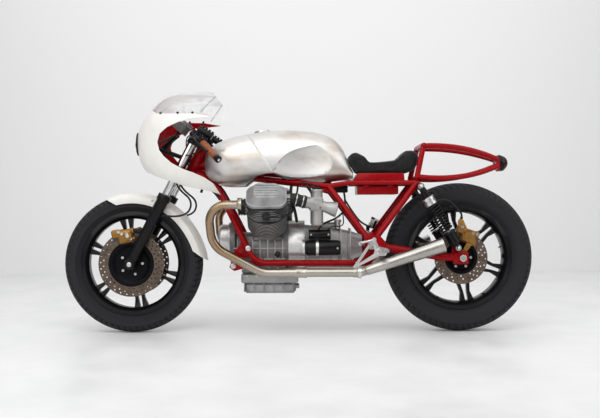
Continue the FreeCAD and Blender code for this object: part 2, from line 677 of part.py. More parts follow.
def swingarm():
    """The swinging arm: cross tube, plain left arm and the wider shaft tunnel on the right."""
    pivot = V(PIVOT[0], 0, PIVOT[1])
    cross = bar(pivot - V(0, 118, 0), pivot + V(0, 118, 0), 23.0)
    left = tube([pivot + V(0, SWINGARM_Y, 0), REAR_AXLE + V(96, SWINGARM_Y, 6), REAR_AXLE + V(-4, SWINGARM_Y, 1)],
                SWINGARM_RADIUS, [160.0])
    right = tube([pivot - V(0, SHAFT_Y, 0), REAR_AXLE + V(130, -SHAFT_Y, 14), REAR_AXLE + V(88, -SHAFT_Y, 10)],
                 SWINGARM_RADIUS + 6, [160.0])
    block = bevelled_box(-26, 44, SWINGARM_Y - 15, SWINGARM_Y + 20, REAR_AXLE.z - 28, REAR_AXLE.z + BLOCK_TOP, 5.0)
    lug = bar(V(SHOCK_BOTTOM[0], SWINGARM_Y, SHOCK_BOTTOM[1]), V(SHOCK_BOTTOM[0], 126, SHOCK_BOTTOM[1]), 11.0)
    web = plate([(dx, REAR_AXLE.z + dz) for dx, dz in ((50, 14), (44, 56), (10, 56), (4, 14))],
                SWINGARM_Y - 4, SWINGARM_Y + 8)
    body = fuse([cross, left, right, block, lug, web])
    return cut(body, [bar(REAR_AXLE - V(0, 200, 0), REAR_AXLE + V(0, 200, 0), REAR_AXLE_RADIUS + 0.05),
                      bar(pivot - V(0, 150, 0), pivot + V(0, 150, 0), 9.0)])


def final_drive():
    """The bevel drive housing on the right of the rear wheel, bored for the axle."""
    centre = REAR_AXLE - V(0, 69, 0)
    case = turned([(REAR_AXLE_RADIUS + 0.05, 0), (84, 0), (88, -12), (82, -36), (56, -50),
                   (26, -56), (REAR_AXLE_RADIUS + 0.05, -56)], centre)
    neck = cone(REAR_AXLE + V(20, -SHAFT_Y, 4), REAR_AXLE + V(87.5, -SHAFT_Y, 10), 36, 28)
    lug = bar(V(SHOCK_BOTTOM[0], -100, SHOCK_BOTTOM[1]), V(SHOCK_BOTTOM[0], -126, SHOCK_BOTTOM[1]), 13.0)
    ribs = [plate([(math.cos(a) * 20, REAR_AXLE.z + math.sin(a) * 20),
                   (math.cos(a) * 80, REAR_AXLE.z + math.sin(a) * 80),
                   (math.cos(a + 0.06) * 80, REAR_AXLE.z + math.sin(a + 0.06) * 80),
                   (math.cos(a + 0.2) * 20, REAR_AXLE.z + math.sin(a + 0.2) * 20)], -124, -100)
            for a in (2.4, 3.1, 3.8, 4.5, 5.2)]
    body = fuse([case, neck, lug] + ribs)
    return cut(body, [bar(REAR_AXLE - V(0, 200, 0), REAR_AXLE + V(0, 200, 0), REAR_AXLE_RADIUS + 0.05)])


def ripples(first, pitch, count, inner, outer):
    """The outline of stacked spring turns: (distance along, radius) corners."""
    corners = []
    for i in range(count):
        for share, radius in ((0.0, inner), (0.18, outer - 1.2), (0.35, outer), (0.52, outer - 1.2), (0.7, inner)):
            corners.append((first + pitch * (i + share), radius))
    return corners


def shock():
    """The left rear damper: eyes, upper collar, spring and body turned as one, and its nuts."""
    top = V(SHOCK_TOP[0], SHOCK_Y, SHOCK_TOP[1])
    foot = V(SHOCK_BOTTOM[0], SHOCK_Y, SHOCK_BOTTOM[1])
    length = (foot - top).Length
    profile = [(10, 0), (10, 12), (34, 14), (34, 26), (62, 26), (62, 30), (70, 30)]
    profile += ripples(73, 13.2, 10, 18.0, 27.0)
    profile += [(206, 18), (206, 29), (214, 29), (214, 22), (length - 20, 22), (length - 12, 12), (length - 12, 0)]
    face = Part.Face(Part.makePolygon([V(r, 0, -d) for d, r in profile + profile[:1]]))
    body = face.revolve(V(0, 0, 0), V(0, 0, 1), 360)
    lean = math.degrees(math.atan2(top.x - foot.x, top.z - foot.z))
    body.rotate(V(0, 0, 0), V(0, 1, 0), lean)
    body.translate(top)
    eyes = [Part.makeCylinder(15, 34, p - V(0, 23.7, 0), V(0, 1, 0)) for p in (top, foot)]
    nuts = [Part.makeCylinder(9, 12, p + V(0, 10, 0), V(0, 1, 0)) for p in (top, foot)]
    return fuse([body] + eyes + nuts)


def cylinder_frame(shape, side):
    """Leans an upright cylinder piece out from the crankshaft to one side."""
    shape.rotate(V(0, 0, 0), V(1, 0, 0), -CYLINDER_ANGLE * side)
    return shape.translated(V(CYLINDER_X + side * CYLINDER_STAGGER, 0, CRANK_HEIGHT))


def cylinder_point(point, side):
    """Where a point of the upright cylinder lands once it leans out."""
    spot = Part.Vertex(point)
    return cylinder_frame(spot, side).Point


HEAD_BASE = BARREL_BASE + BARREL_FIN_START + BARREL_FINS * FIN_PITCH
HEAD_TOP = HEAD_BASE + HEAD_FINS * FIN_PITCH + 6


def fin(half_x, half_y, radius, height):
    """One flat cooling fin with rounded corners."""
    slab = box(-half_x, half_x, -half_y, half_y, height, height + FIN_THICKNESS)
    return slab.makeFillet(radius, upright_edges(slab))


def rounded_ring(half_x, half_y, radius, height):
    """A level rounded rectangle, as a closed line of four sides and four corners."""
    a, b = half_x - radius, half_y - radius
    bend = radius * math.sqrt(0.5)
    edges = []
    for sx, sy, first_along in ((1, 1, False), (-1, 1, True), (-1, -1, False), (1, -1, True)):
        centre = V(sx * a, sy * b, height)
        ends = [centre + V(sx * radius, 0, 0), centre + V(0, sy * radius, 0)]
        if first_along:
            ends.reverse()
        middle = centre + V(sx * bend, sy * bend, 0)
        edges.append(Part.Arc(ends[0], middle, ends[1]).toShape())
        corner = len(edges)
        following = [V(-a, half_y, height), V(-half_x, -b, height), V(a, -half_y, height), V(half_x, b, height)]
        edges.append(Part.LineSegment(ends[1], following[(corner - 1) // 2]).toShape())
    return Part.Wire(edges)


def rounded_block(half_x, half_y, radius, low, height):
    """An upright block with rounded corners."""
    return Part.Face(rounded_ring(half_x, half_y, radius, low)).extrude(V(0, 0, height))


def cylinder(side):
    """One air-cooled barrel and head with their fins and ports."""
    barrel = Part.makeCylinder(BARREL_CORE_RADIUS, HEAD_BASE - BARREL_BASE + 6, V(0, 0, BARREL_BASE))
    pieces = [barrel]
    for i in range(BARREL_FINS):
        pieces.append(Part.makeCylinder(BARREL_FIN_RADIUS, FIN_THICKNESS,
                                        V(0, 0, BARREL_BASE + BARREL_FIN_START + i * FIN_PITCH)))
    core = box(-66, 66, -54, 54, HEAD_BASE - 2, HEAD_TOP)
    pieces.append(core.makeFillet(14.0, upright_edges(core)))
    for i in range(HEAD_FINS):
        grow = 1.0 - 0.018 * abs(i - 2)
        pieces.append(fin(HEAD_LENGTH / 2 * grow, HEAD_WIDTH / 2 * grow, HEAD_CORNER, HEAD_BASE + 2 + i * FIN_PITCH))
    outlet = bar(V(60, side * 22, HEAD_BASE + 30), V(102, side * 22, HEAD_BASE + 30), 27.0)
    inlet = bar(V(-60, -side * 30, HEAD_BASE + 34), V(-104, -side * 30, HEAD_BASE + 34), 25.0)
    plug = bar(V(0, side * 40, HEAD_BASE + 26), V(0, side * 92, HEAD_BASE + 34), 10.0)
    body = fuse(pieces + [outlet, inlet, plug])
    return cylinder_frame(body, side)


def rocker_cover(side):
    """A ribbed rocker cover with chamfered ends."""
    low = HEAD_TOP + SEAT_GAP
    half_x, half_y = ROCKER_LENGTH / 2, ROCKER_WIDTH / 2
    skirt = rounded_block(half_x, half_y, 42.0, low, 16.0)
    crown = Part.makeLoft([
        rounded_ring(half_x - 3, half_y - 3, 40.0, low + 15.5),
        rounded_ring(half_x - 36, half_y - 22, 20.0, low + ROCKER_HEIGHT),
    ], True, True)
    ribs = [bevelled_box(-half_x + 38, half_x - 38, y - 3, y + 3, low + ROCKER_HEIGHT - 6, low + ROCKER_HEIGHT + 4, 2.0)
            for y in (-32, -16, 0, 16, 32)]
    return cylinder_frame(fuse([skirt, crown] + ribs), side)


def crankcase():
    """The crankcase with its two cylinder decks, timing chest and side ribs."""
    lower = bevelled_box(792, 1030, -98, 98, 306, 452, 16.0)
    barrel = bar(V(786, 0, CRANK_HEIGHT), V(948, 0, CRANK_HEIGHT), CRANK_RADIUS)
    bosses = bar(V(MOUNT[0], 0.3 - LUG_Y, MOUNT[1]), V(MOUNT[0], LUG_Y - 0.3, MOUNT[1]), 13.0)
    decks = []
    for side in (1, -1):
        deck = bevelled_box(-68, 68, -60, 60, 20, BARREL_BASE - SEAT_GAP, 8.0)
        decks.append(cylinder_frame(deck, side))
    chest = bar(V(1028, 0, CRANK_HEIGHT + 10), V(1052, 0, CRANK_HEIGHT + 10), 104.0)
    ribs = [box(800 + 48 * i, 806 + 48 * i, -104, 104, 316, 436) for i in range(4)]
    foot = bevelled_box(800, 1000, -78, 78, 268, 312, 6.0)
    return fuse([lower, barrel, bosses] + decks + [chest, foot] + ribs)


def alternator_cover():
    """The polished round alternator cover on the nose of the crankcase."""
    back = V(1052 + SEAT_GAP, 0, CRANK_HEIGHT + 32)
    lip = bar(back, back + V(10, 0, 0), 72.0)
    bowl = bar(back + V(9, 0, 0), back + V(56, 0, 0), 64.0)
    rim = [e for e in bowl.Edges if abs(e.BoundBox.XMax - bowl.BoundBox.XMax) < 0.1 and e.Closed]
    return fuse([lip, bowl.makeFillet(18.0, rim[:1])])


STARTER = (129.0, CRANK_HEIGHT - 9.0)


def gearbox():
    """Clutch bell housing and tapering gearbox casting."""
    bell = bar(V(712, 0, CRANK_HEIGHT + 4), V(786 - SEAT_GAP, 0, CRANK_HEIGHT + 4), 108.0)
    sections = []
    for x, half, low, high in ((713, 92, 308, 488), (620, 84, 312, 478), (520, 62, 322, 462), (448, 46, 344, 440)):
        sections.append(section(x, high, low, half, (high + low) / 2, 5.0))
    ribs = [box(500 + 44 * i, 505 + 44 * i, -78, 78, 316, 470) for i in range(4)]
    case = loft(sections)
    output = bar(V(520, -62, 400), V(446, -62, 398), 26.0)
    lid = bevelled_box(560, 680, -50, 50, 460, 498, 8.0)
    flange = bar(V(712, STARTER[0], STARTER[1]), V(722, STARTER[0], STARTER[1]), 37.0)
    return fuse([bell, case, output, lid, flange] + ribs)


def starter_motor():
    """The starter motor and its solenoid on the left of the gearbox."""
    y, z = STARTER
    motor = bar(V(560, y, z), V(704, y, z), 35.0)
    ends = [bar(V(552, y, z), V(572, y, z), 32.0), bar(V(690, y, z), V(712 - SEAT_GAP, y, z), 30.0)]
    solenoid = bar(V(596, y - 10, z + 60), V(694, y - 10, z + 60), 22.0)
    link = box(600, 690, y - 22, y + 4, z + 20, z + 50)
    return fuse([motor, solenoid, link] + ends)


def oil_sump():
    """The deep finned sump under the crankcase."""
    upper = bevelled_box(742, 1002, -84, 84, 224, 268 - SEAT_GAP, 6.0)
    lower = bevelled_box(752, 990, -76, 76, 177, 226, 12.0)
    ribs = [bevelled_box(764 + 44 * i, 770 + 44 * i, -82, 82, 184, 226, 2.0) for i in range(6)]
    plug = bar(V(760, 0, 204), V(738, 0, 204), 12.0)
    return fuse([upper, lower, plug] + ribs)


def carburettor(side):
    """One slide carburettor: rubber manifold, body, float bowl, slide cap and bell mouth."""
    y = side * 148.0
    shift = side * CYLINDER_STAGGER
    port = cylinder_point(V(-104 - SEAT_GAP, -side * 30, HEAD_BASE + 34), side)
    head_end = port - V(14, 0, 0)
    mouth = V(566, y, 556)
    along = (mouth - head_end).normalize()
    at = lambda d: head_end + along * d
    rubber = fuse([bar(port, port - V(24, 0, 0), 27.0), bar(at(-4), at(58), 27.0)])
    bands = [bar(at(d), at(d + 8), 29.5) for d in (14, 44)]
    body = bar(at(56), at(150), 24.0)
    block = bevelled_box(628, 690, y - 30, y + 30, 552, 612, 7.0)
    bowl = bar(V(656, y, 486), V(656, y, 556), 27.0)
    bowl = bowl.makeFillet(8.0, [e for e in bowl.Edges if e.BoundBox.ZMax < 487])
    cap = fuse([bar(V(656, y, 606), V(656, y, 640), 25.0), bar(V(656, y, 638), V(656, y, 648), 28.0)])
    bell = cone(at(148), at(196), 24.0, 34.0)
    throat = bar(at(152), at(210), 20.0)
    return cut(fuse([rubber] + bands + [body, block, bowl, cap, bell]), [throat])


def silencer_ends(side):
    """The centre of one silencer's inlet and of its open end."""
    return V(440, EXHAUST_Y * side, 285.5), V(96, 180 * side, 399)


def header(side):
    """One exhaust header from its port to the silencer joint."""
    y = EXHAUST_Y * side
    start = V(976 + side * CYLINDER_STAGGER, side * 222, 581)
    inlet, outlet = silencer_ends(side)
    path = [start, V(1138, side * 208, 581), V(1122, side * 182, 398), V(905, y, 279),
            inlet - (outlet - inlet).normalize() * 28, inlet]
    pipe = tube(path, HEADER_RADIUS, [76.0, 110.0, 120.0, 50.0])
    collar = bar(start, start + V(18, -side * 1.5, 0), 30.0)
    bands = [bar(V(x, y, 277 + (x - 480) * 0.0045), V(x + long, y, 277 + (x - 480) * 0.0045), HEADER_RADIUS + 2.0)
             for x, long in ((478, 20), (708, 46))]
    return fuse([pipe, collar] + bands)


def silencer(side):
    """One short upswept silencer with a cone inlet and an open end."""
    inlet, end = silencer_ends(side)
    along = (end - inlet).normalize()
    start = inlet + along * SEAT_GAP
    sleeve = bar(start, start + along * 26, HEADER_RADIUS + 3)
    can = cone(start + along * 25, end, HEADER_RADIUS + 3, SILENCER_RADIUS)
    lip = bar(end - along * 6, end, SILENCER_RADIUS + 1.5)
    hollow = bar(end - along * 150, end + along * 5, SILENCER_RADIUS - 8)
    return cut(fuse([sleeve, can, lip]), [hollow])


TANK_STATIONS = [
    (490, 738, 692, 88, 712), (520, 808, 689, 100, 735), (560, 870, 685, 114, 755),
    (620, 904, 679, 128, 765), (720, 922, 678, 142, 770), (830, 925, 674, 150, 775),
    (930, 916, 670, 154, 775), (1030, 895, 664, 152, 772), (1100, 872, 670, 138, 768),
    (1145, 843, 692, 108, 768), (1166, 812, 728, 70, 770),
]
TANK_NOTCH = [(752, 640), (760, 681), (804, 701), (852, 724), (890, 721), (925, 711), (958, 690),
              (986, 664), (990, 640)]
KNEE = [(850, 726), (838, 756), (809, 794), (768, 821), (733, 834), (679, 846), (620, 851), (590, 842),
        (560, 799), (529, 745), (505, 700), (560, 660), (700, 655), (800, 690)]
KNEE_DISH_RADIUS = 420.0
KNEE_DISH_AT = V(690, 108, 762)
CREASE_TOP = (985, 925)
CREASE_FOOT = (846, 716)
CREASE_STEP = 4.0


def fuel_tank():
    """The long alloy tank: front bulb, tunnel, cylinder notches and dished knee recesses."""
    rear = loft([section(x, top, low, half, waist, 2.4) for x, top, low, half, waist in TANK_STATIONS])
    bulb = loft([section(x, top, low - 2, half + CREASE_STEP, waist, 2.7)
                 for x, top, low, half, waist in TANK_STATIONS if x > 700])
    ahead = plate([CREASE_TOP, (1300, 1000), (1300, 600), (769, 600), CREASE_FOOT], -250, 250)
    body = fuse([rear, bulb.common(ahead)])
    rise = (BACKBONE_START - BACKBONE_END).normalize()
    roof = V(-rise.z, 0, rise.x) * (BACKBONE_RADIUS + SEAT_GAP)
    low, high = BACKBONE_END + roof - rise * 140, BACKBONE_START + roof + rise * 40
    tunnel = plate([(low.x, low.z), (high.x, high.z), (high.x, 600), (low.x, 600)], -58, 58)
    neck = bar(stem_point(HEAD_BOTTOM_AT - 80), stem_point(HEAD_TOP_AT + 120), 42.0)
    notch = plate(TANK_NOTCH, -200, 200)
    dish = Part.makeSphere(KNEE_DISH_RADIUS, KNEE_DISH_AT + V(0, KNEE_DISH_RADIUS, 0))
    recess = curved_plate(KNEE, 96, 220).common(dish)
    belly = bar(stem_point(HEAD_BOTTOM_AT + 22, -34, 16), V(604, RAIL_Y, RAIL_Z - 14.5), TUBE_RADIUS + 5)
    cradle_room = bar(CRADLE_HEAD, CRADLE_BEND, TUBE_RADIUS + 5)
    pocket = Part.makeCylinder(CAP_RADIUS + SEAT_GAP, 40, CAP_SEAT, CAP_UP)
    one_side = [recess, belly, cradle_room]
    return cut(body, [tunnel, neck, notch, pocket] + one_side + [mirrored(tool) for tool in one_side])


CAP_RADIUS = 38.0
CAP_UP = V(0.07, 0, 1).normalize()
CAP_SEAT = V(905, 0, 914.0)


def fuel_cap():
    """The flush filler cap on top of the tank."""
    ring = Part.makeCylinder(CAP_RADIUS, 9, CAP_SEAT, CAP_UP)
    lid = Part.makeCylinder(30, 12, CAP_SEAT, CAP_UP)
    return fuse([ring, lid])


SEAT_OUTLINE = [(484, 737), (501, 773), (513, 806), (490, 824), (458, 808), (428, 778), (385, 771),
                (330, 776), (276, 791), (248, 821), (220, 833), (192, 822), (184, 790), (200, 748),
                (237, 727), (367, 725.5), (462, 725.5)]


def seat_pad():
    """The humped seat pad as a plain closed form."""
    sections = []
    for y, scale in ((-92, 0.80), (-80, 0.95), (-45, 1.0), (45, 1.0), (80, 0.95), (92, 0.80)):
        points = [V(352 + (x - 352) * scale, y, 762 + (z - 762) * scale) for x, z in SEAT_OUTLINE]
        curve = Part.BSplineCurve()
        curve.interpolate(Points=points, PeriodicFlag=True)
        sections.append(Part.Wire(curve.toShape()))
    return cut(loft(sections), [box(0, 700, -200, 200, 600, 722 + SEAT_GAP)])


def seat_tray():
    """The folded sheet tray under the seat pad."""
    z_low = RAIL_Z + RAIL_RADIUS + SEAT_GAP
    outer = plate([(487, z_low), (468, 722), (262, 722), (258, z_low)], -RAIL_Y + 2, RAIL_Y - 2)
    inner = plate([(484, z_low - 5), (466, 719), (265, 719), (261, z_low - 5)], -RAIL_Y + 5, RAIL_Y - 5)
    return cut(outer, [inner])


def battery_box():
    """The flat box slung between the seat rails."""
    shell = bevelled_box(284, 471, -84, 84, RAIL_Z - 52.5, RAIL_Z - 12.5, 4.0)
    inner_face = RAIL_Y - RAIL_RADIUS - SEAT_GAP
    tabs = [box(x, x + 24, inner_face - 16.7, inner_face, RAIL_Z - 18.5, RAIL_Z + 3.5) for x in (310, 420)]
    tabs += [mirrored(t) for t in tabs]
    return fuse([shell] + tabs)


def ignition_box():
    """The black ignition box under the rear of the tank."""
    return bevelled_box(512, 586, -46, 46, SHELF_Z - 31.5, SHELF_Z - SEAT_GAP, 3.0)


NOSE_X = 1474.0
FAIRING_STATIONS = [
    (NOSE_X, 921, 809, 62), (1464, 944, 778, 92), (1446, 973, 744, 124), (1407, 1021, 702, 156),
    (1362, 1064, 658, 180), (1300, 1090, 618, 196), (1230, 1099, 588, 204), (1160, 1100, 568, 204),
    (1070, 1094, 552, 196),
]
LOWER_LINE = [(1500, 738), (1440, 734), (1412, 726), (1379, 712), (1306, 687), (1246, 666), (1178, 652),
              (1133, 643), (1060, 618)]
SCREEN_LINE = [(1440, 1048), (1400, 1012), (1370, 990), (1300, 986), (1200, 985), (1116, 970), (1060, 958)]
SIDE_OPENING = [(1060, 976), (1110, 971), (1202, 961), (1266, 948), (1318, 926), (1352, 898), (1363, 862),
                (1355, 826), (1333, 797), (1300, 768), (1252, 742), (1203, 724), (1155, 703),
                (1116, 676), (1088, 630), (1060, 600)]


def fairing_form(inset, rear):
    """The fairing and screen's outer form, or one set in by a wall."""
    sections = []
    for x, top, low, half in FAIRING_STATIONS:
        sections.append(section(x - inset, top - inset, low + inset, half - inset, FAIRING_WAIST, 2.9, 28))
    x, top, low, half = FAIRING_STATIONS[-1]
    sections.append(section(x - rear, top - inset, low + inset, half - inset, FAIRING_WAIST, 2.9, 28))
    return loft(sections)


def fairing():
    """The half fairing: a thin shell, open below, with its side openings and lamp hole."""
    shell = cut(fairing_form(0, 30), [fairing_form(FAIRING_WALL, 40)])
    above = plate(SCREEN_LINE + [(1060, 1200), (1440, 1200)], -260, 260)
    opening = plate(SIDE_OPENING, -260, 260)
    below = plate(LOWER_LINE + [(1060, 400), (1500, 400)], -260, 260)
    behind = plate([(1124, 1200), (1114, 960), (1088, 640), (1060, 500), (900, 500), (900, 1200)], -260, 260)
    lamp = bar(LAMP_FACE - V(80, 0, 0), LAMP_FACE + V(60, 0, 0), LAMP_RADIUS - 4)
    return cut(shell, [above, opening, below, behind, lamp])


LAMP_FACE = V(NOSE_X + SEAT_GAP, 0, 866)
LENS_RADIUS = 62.0


def windscreen():
    """The clear screen that carries on the fairing's line."""
    shell = cut(fairing_form(0, 30), [fairing_form(SCREEN_WALL, 40)])
    lift = SEAT_GAP
    keep = plate([(x, z + lift) for x, z in SCREEN_LINE] + [(1060, 1200), (1440, 1200)], -260, 260)
    behind = plate([(1132, 1200), (1131, 1096), (1104, 1066), (1112, 1026), (1126, 980), (900, 980),
                    (900, 1200)], -260, 260)
    return cut(shell.common(keep), [behind])


def headlamp():
    """The headlamp: bowl inside the nose, black rim and domed lens."""
    face = LAMP_FACE + V(11, 0, 0)
    ring = bar(LAMP_FACE, face, LAMP_RADIUS)
    bowl = cone(face - V(90, 0, 0), face - V(4, 0, 0), 26, LAMP_RADIUS - 7)
    dome = Part.makeSphere(LENS_RADIUS, face + V(13 - LENS_RADIUS, 0, 0))
    return fuse([ring, bowl, dome.common(bar(face - V(4, 0, 0), face + V(40, 0, 0), LAMP_RADIUS - 6))])


def fairing_stay():
    """The tubular stay from the head tube to the fairing and the lamp."""
    arm = bar(stem_point(HEAD_BOTTOM_AT + 56), V(1386, 0, 842), 10.0)
    cross = bar(V(1386, -220, 842), V(1386, 220, 842), 8.0).common(fairing_form(FAIRING_WALL + SEAT_GAP, 40))
    post = bar(GAUGE_FOOT - GAUGE_UP * 112, GAUGE_FOOT, 7.0)
    saddle = bar(stem_point(HEAD_BOTTOM_AT - 20), stem_point(HEAD_TOP_AT + 20), HEAD_TUBE_RADIUS + SEAT_GAP)
    return cut(fuse([arm, cross, post]), [saddle])


GAUGE_FOOT = V(1296, 0, 925)
GAUGE_UP = V(-0.62, 0, 0.78).normalize()


def instrument():
    """The single round instrument on its post."""
    low = GAUGE_FOOT + GAUGE_UP * SEAT_GAP
    can = bar(low, low + GAUGE_UP * 52, 38.0)
    bezel = bar(low + GAUGE_UP * 46, low + GAUGE_UP * 58, 41.0)
    return fuse([can, bezel])


def by_pivot(ahead, y, above):
    """A point set from the swinging arm's pivot."""
    return V(PIVOT[0] + ahead, y, PIVOT[1] + above)


def footrest(side):
    """A rear-set bracket with its peg, lever and exhaust hanger."""
    y = PLATE_Y + PLATE_THICKNESS + SEAT_GAP
    spacers = [bar(by_pivot(dx, y, dz), by_pivot(dx, FOOT_PLATE_Y + 2, dz), 9.0)
               for dx, dz in ((-36, -22), (-30, 20))]
    web = plate([(85, -92), (-8, 40), (-28, 40), (-72, -18), (-60, -44), (-30, -46), (64, -92)],
                FOOT_PLATE_Y, FOOT_PLATE_Y + PLATE_THICKNESS).translated(by_pivot(0, 0, 0))
    window = plate([(62, -80), (-1, 12), (-10, -22), (-6, -36)],
                   FOOT_PLATE_Y - 4, FOOT_PLATE_Y + 11).translated(by_pivot(0, 0, 0))
    peg = bar(by_pivot(-35, FOOT_PLATE_Y + 4, -23), by_pivot(-35, PEG_END_Y, -23), PEG_RADIUS)
    arm = bar(by_pivot(-8, 174, 28), by_pivot(58, 178, 10), 5.0)
    hub = bar(by_pivot(-8, 166, 28), by_pivot(-8, 182, 28), 9.0)
    toe = bar(by_pivot(58, 172, 10), by_pivot(58, 224, 10), 7.5)
    hanger = box(PIVOT[0] + 66, PIVOT[0] + 84, FOOT_PLATE_Y, FOOT_PLATE_Y + PLATE_THICKNESS, EXHAUST_CLAMP_TOP,
                 PIVOT[1] - 90)
    body = cut(fuse(spacers + [web, peg, arm, hub, toe, hanger]), [window])
    return body if side > 0 else mirrored(body)


EXHAUST_CLAMP_TOP = 277 + HEADER_RADIUS + 2.0 + SEAT_GAP
FOOT_PLATE_Y = 164.0
PEG_RADIUS = 11.0
PEG_END_Y = 262.0


def rear_caliper():
    """The rear caliper above the axle, with the arm that steadies it on the axle block."""
    body = caliper(REAR_AXLE, REAR_DISC_Y, REAR_DISC_RADIUS, 100.0, 108.0)
    y = REAR_DISC_Y + 14
    block_top = BLOCK_TOP + SEAT_GAP
    arm = plate([(dx, REAR_AXLE.z + dz) for dx, dz in ((-44, 56), (-66, 94), (-40, 104), (-6, 36), (8, block_top),
                                                       (-22, block_top))], y, y + 8)
    lug = plate([(dx, REAR_AXLE.z + dz) for dx, dz in ((-30, 122), (-8, 172), (10, 176), (16, 160), (6, 112))],
                y - 4, y + 8)
    return fuse([body, arm, lug])


def rear_master():
    """The rear brake fluid pot on the brace between the pivot plates."""
    y = -84.0
    brace_top = BRACE[1] + BRACE_RADIUS + SEAT_GAP
    foot = V(BRACE[0] - 14, y, brace_top + 15)
    lean = V(-0.45, 0, 0.89).normalize()
    pot = bar(foot, foot + lean * 40, 17.0)
    lid = bar(foot + lean * 40, foot + lean * 50, 19.0)
    stem = box(BRACE[0] - 8, BRACE[0] + 8, y - 6, y + 6, brace_top, brace_top + 24)
    return fuse([pot, lid, stem])


def rear_hose():
    """The rear brake hose, from the caliper's lug up inside the damper to the frame's cross tube."""
    start = V(1, 92, REAR_AXLE.z + 174.6)
    end = V(203, 88, RAIL_Z - RAIL_RADIUS - SEAT_GAP)
    path = [start, start + V(-5, 0, 23), V(62, 94, 606), V(150, 95, 585), end - V(0, 0, 33), end]
    hose = tube(path, HOSE_RADIUS, [30.0, 60.0, 50.0, 38.0])
    first, last = path[1] - start, end - path[-2]
    unions = [bar(start, start + first.normalize() * 12, HOSE_RADIUS + 2),
              bar(end - last.normalize() * 12, end, HOSE_RADIUS + 2)]
    return fuse([hose] + unions)


def chassis_parts():
    """Everything that stays put: frame, engine, bodywork and rear suspension."""
    return {
        "main_frame": main_frame(),
        "left_cradle": cradle(1),
        "right_cradle": cradle(-1),
        "tail_loop": tail_loop(),
        "tail_lamp": tail_lamp(),
        "swingarm": swingarm(),
        "final_drive": final_drive(),
        "rear_axle": bar(REAR_AXLE - V(0, 140, 0), REAR_AXLE + V(0, 132, 0), REAR_AXLE_RADIUS),
        "rear_dampers": both_sides(shock()),
        "crankcase": crankcase(),
        "left_cylinder": cylinder(1),
        "right_cylinder": cylinder(-1),
        "rocker_covers": Part.makeCompound([rocker_cover(1), rocker_cover(-1)]),
        "alternator_cover": alternator_cover(),
        "gearbox": gearbox(),
        "starter_motor": starter_motor(),
        "oil_sump": oil_sump(),
        "carburettors": Part.makeCompound([carburettor(1), carburettor(-1)]),
        "exhaust_headers": Part.makeCompound([header(1), header(-1)]),
        "silencers": Part.makeCompound([silencer(1), silencer(-1)]),
        "fuel_tank": fuel_tank(),
        "fuel_cap": fuel_cap(),
        "seat_pad": seat_pad(),
        "seat_tray": seat_tray(),
        "battery_box": battery_box(),
        "ignition_box": ignition_box(),
        "fairing": fairing(),
        "windscreen": windscreen(),
        "headlamp": headlamp(),
        "fairing_stay": fairing_stay(),
        "instrument": instrument(),
        "footrests": Part.makeCompound([footrest(1), footrest(-1)]),
        "rear_caliper": rear_caliper(),
        "rear_master": rear_master(),
        "rear_brake_hose": rear_hose(),
    }


def export(parts):
    """Writes each piece to its own file, with the rider's point as the origin."""
    os.makedirs("parts", exist_ok=True)
    for name, shape in parts.items():
        shape.translated(-RIDER).exportStep(f"parts/{name}.step")


export({**front_wheel_parts(), **rear_wheel_parts(), **steering_parts(), **chassis_parts()})
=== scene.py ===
"""The looks of a half-faired cafe racer motorcycle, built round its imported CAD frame."""
import logging
import math
from dataclasses import dataclass, replace
from enum import Enum
from typing import Callable, Sequence

import bpy
from mathutils import Euler, Matrix, Vector


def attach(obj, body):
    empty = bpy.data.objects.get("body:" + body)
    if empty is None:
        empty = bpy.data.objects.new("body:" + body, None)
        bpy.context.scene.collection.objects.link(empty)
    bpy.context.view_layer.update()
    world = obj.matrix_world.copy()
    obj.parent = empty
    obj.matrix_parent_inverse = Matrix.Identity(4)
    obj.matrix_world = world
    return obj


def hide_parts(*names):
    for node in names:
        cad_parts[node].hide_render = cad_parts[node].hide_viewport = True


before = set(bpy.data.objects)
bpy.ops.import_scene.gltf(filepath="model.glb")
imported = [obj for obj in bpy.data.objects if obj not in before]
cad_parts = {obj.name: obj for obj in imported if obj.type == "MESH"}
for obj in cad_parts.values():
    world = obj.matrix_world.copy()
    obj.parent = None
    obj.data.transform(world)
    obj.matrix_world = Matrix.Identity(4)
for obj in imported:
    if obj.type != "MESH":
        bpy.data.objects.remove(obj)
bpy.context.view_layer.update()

Piece, Face, Socket = bpy.types.Object, bpy.types.MeshPolygon, bpy.types.NodeSocket
Colour = tuple[float, float, float]
Point = tuple[float, float, float]
Line = Sequence[Point]
Profile = Sequence[tuple[float, float]]
Spots = tuple[tuple[float, float], ...]

LOG = logging.getLogger("cafe_racer")
SEAT = (372.0, 0.0, 772.0)
SEAT_POINT = Vector(SEAT) / 1000
FRONT_AXLE = (1505.0, 0.0, 314.0)
REAR_AXLE = (0.0, 0.0, 336.0)
GROUND = -6.0
LEFT, RIGHT, SIDES = (1,), (-1,), (1, -1)
AHEAD, BACK, OUT, UP = (1, 0, 0), (-1, 0, 0), (0, 1, 0), (0, 0, 1)
CAD_MERGE, SEAM_MERGE = 0.00002, 0.00001
CENTRE_RADIUS = 0.004
FAR_OUT = 900.0


class Body(Enum):
    """The moving bodies of the frame."""

    CHASSIS = "chassis"
    STEERING = "steering"
    FRONT_WHEEL = "front_wheel"
    REAR_WHEEL = "rear_wheel"


class Head(Enum):
    """The kinds of screw head."""

    HEX = "hex"
    DOME = "dome"
    SOCKET = "socket"


def at(x: float, y: float, z: float) -> Vector:
    """A point given in the part's millimetres, in the row frame.

    Args:
        x: forward of the rear axle.
        y: to the rider's left.
        z: above the part's zero level, which is 6 mm above the ground.

    Returns:
        The point in metres.
    """
    return Vector((x, y, z)) / 1000 - SEAT_POINT


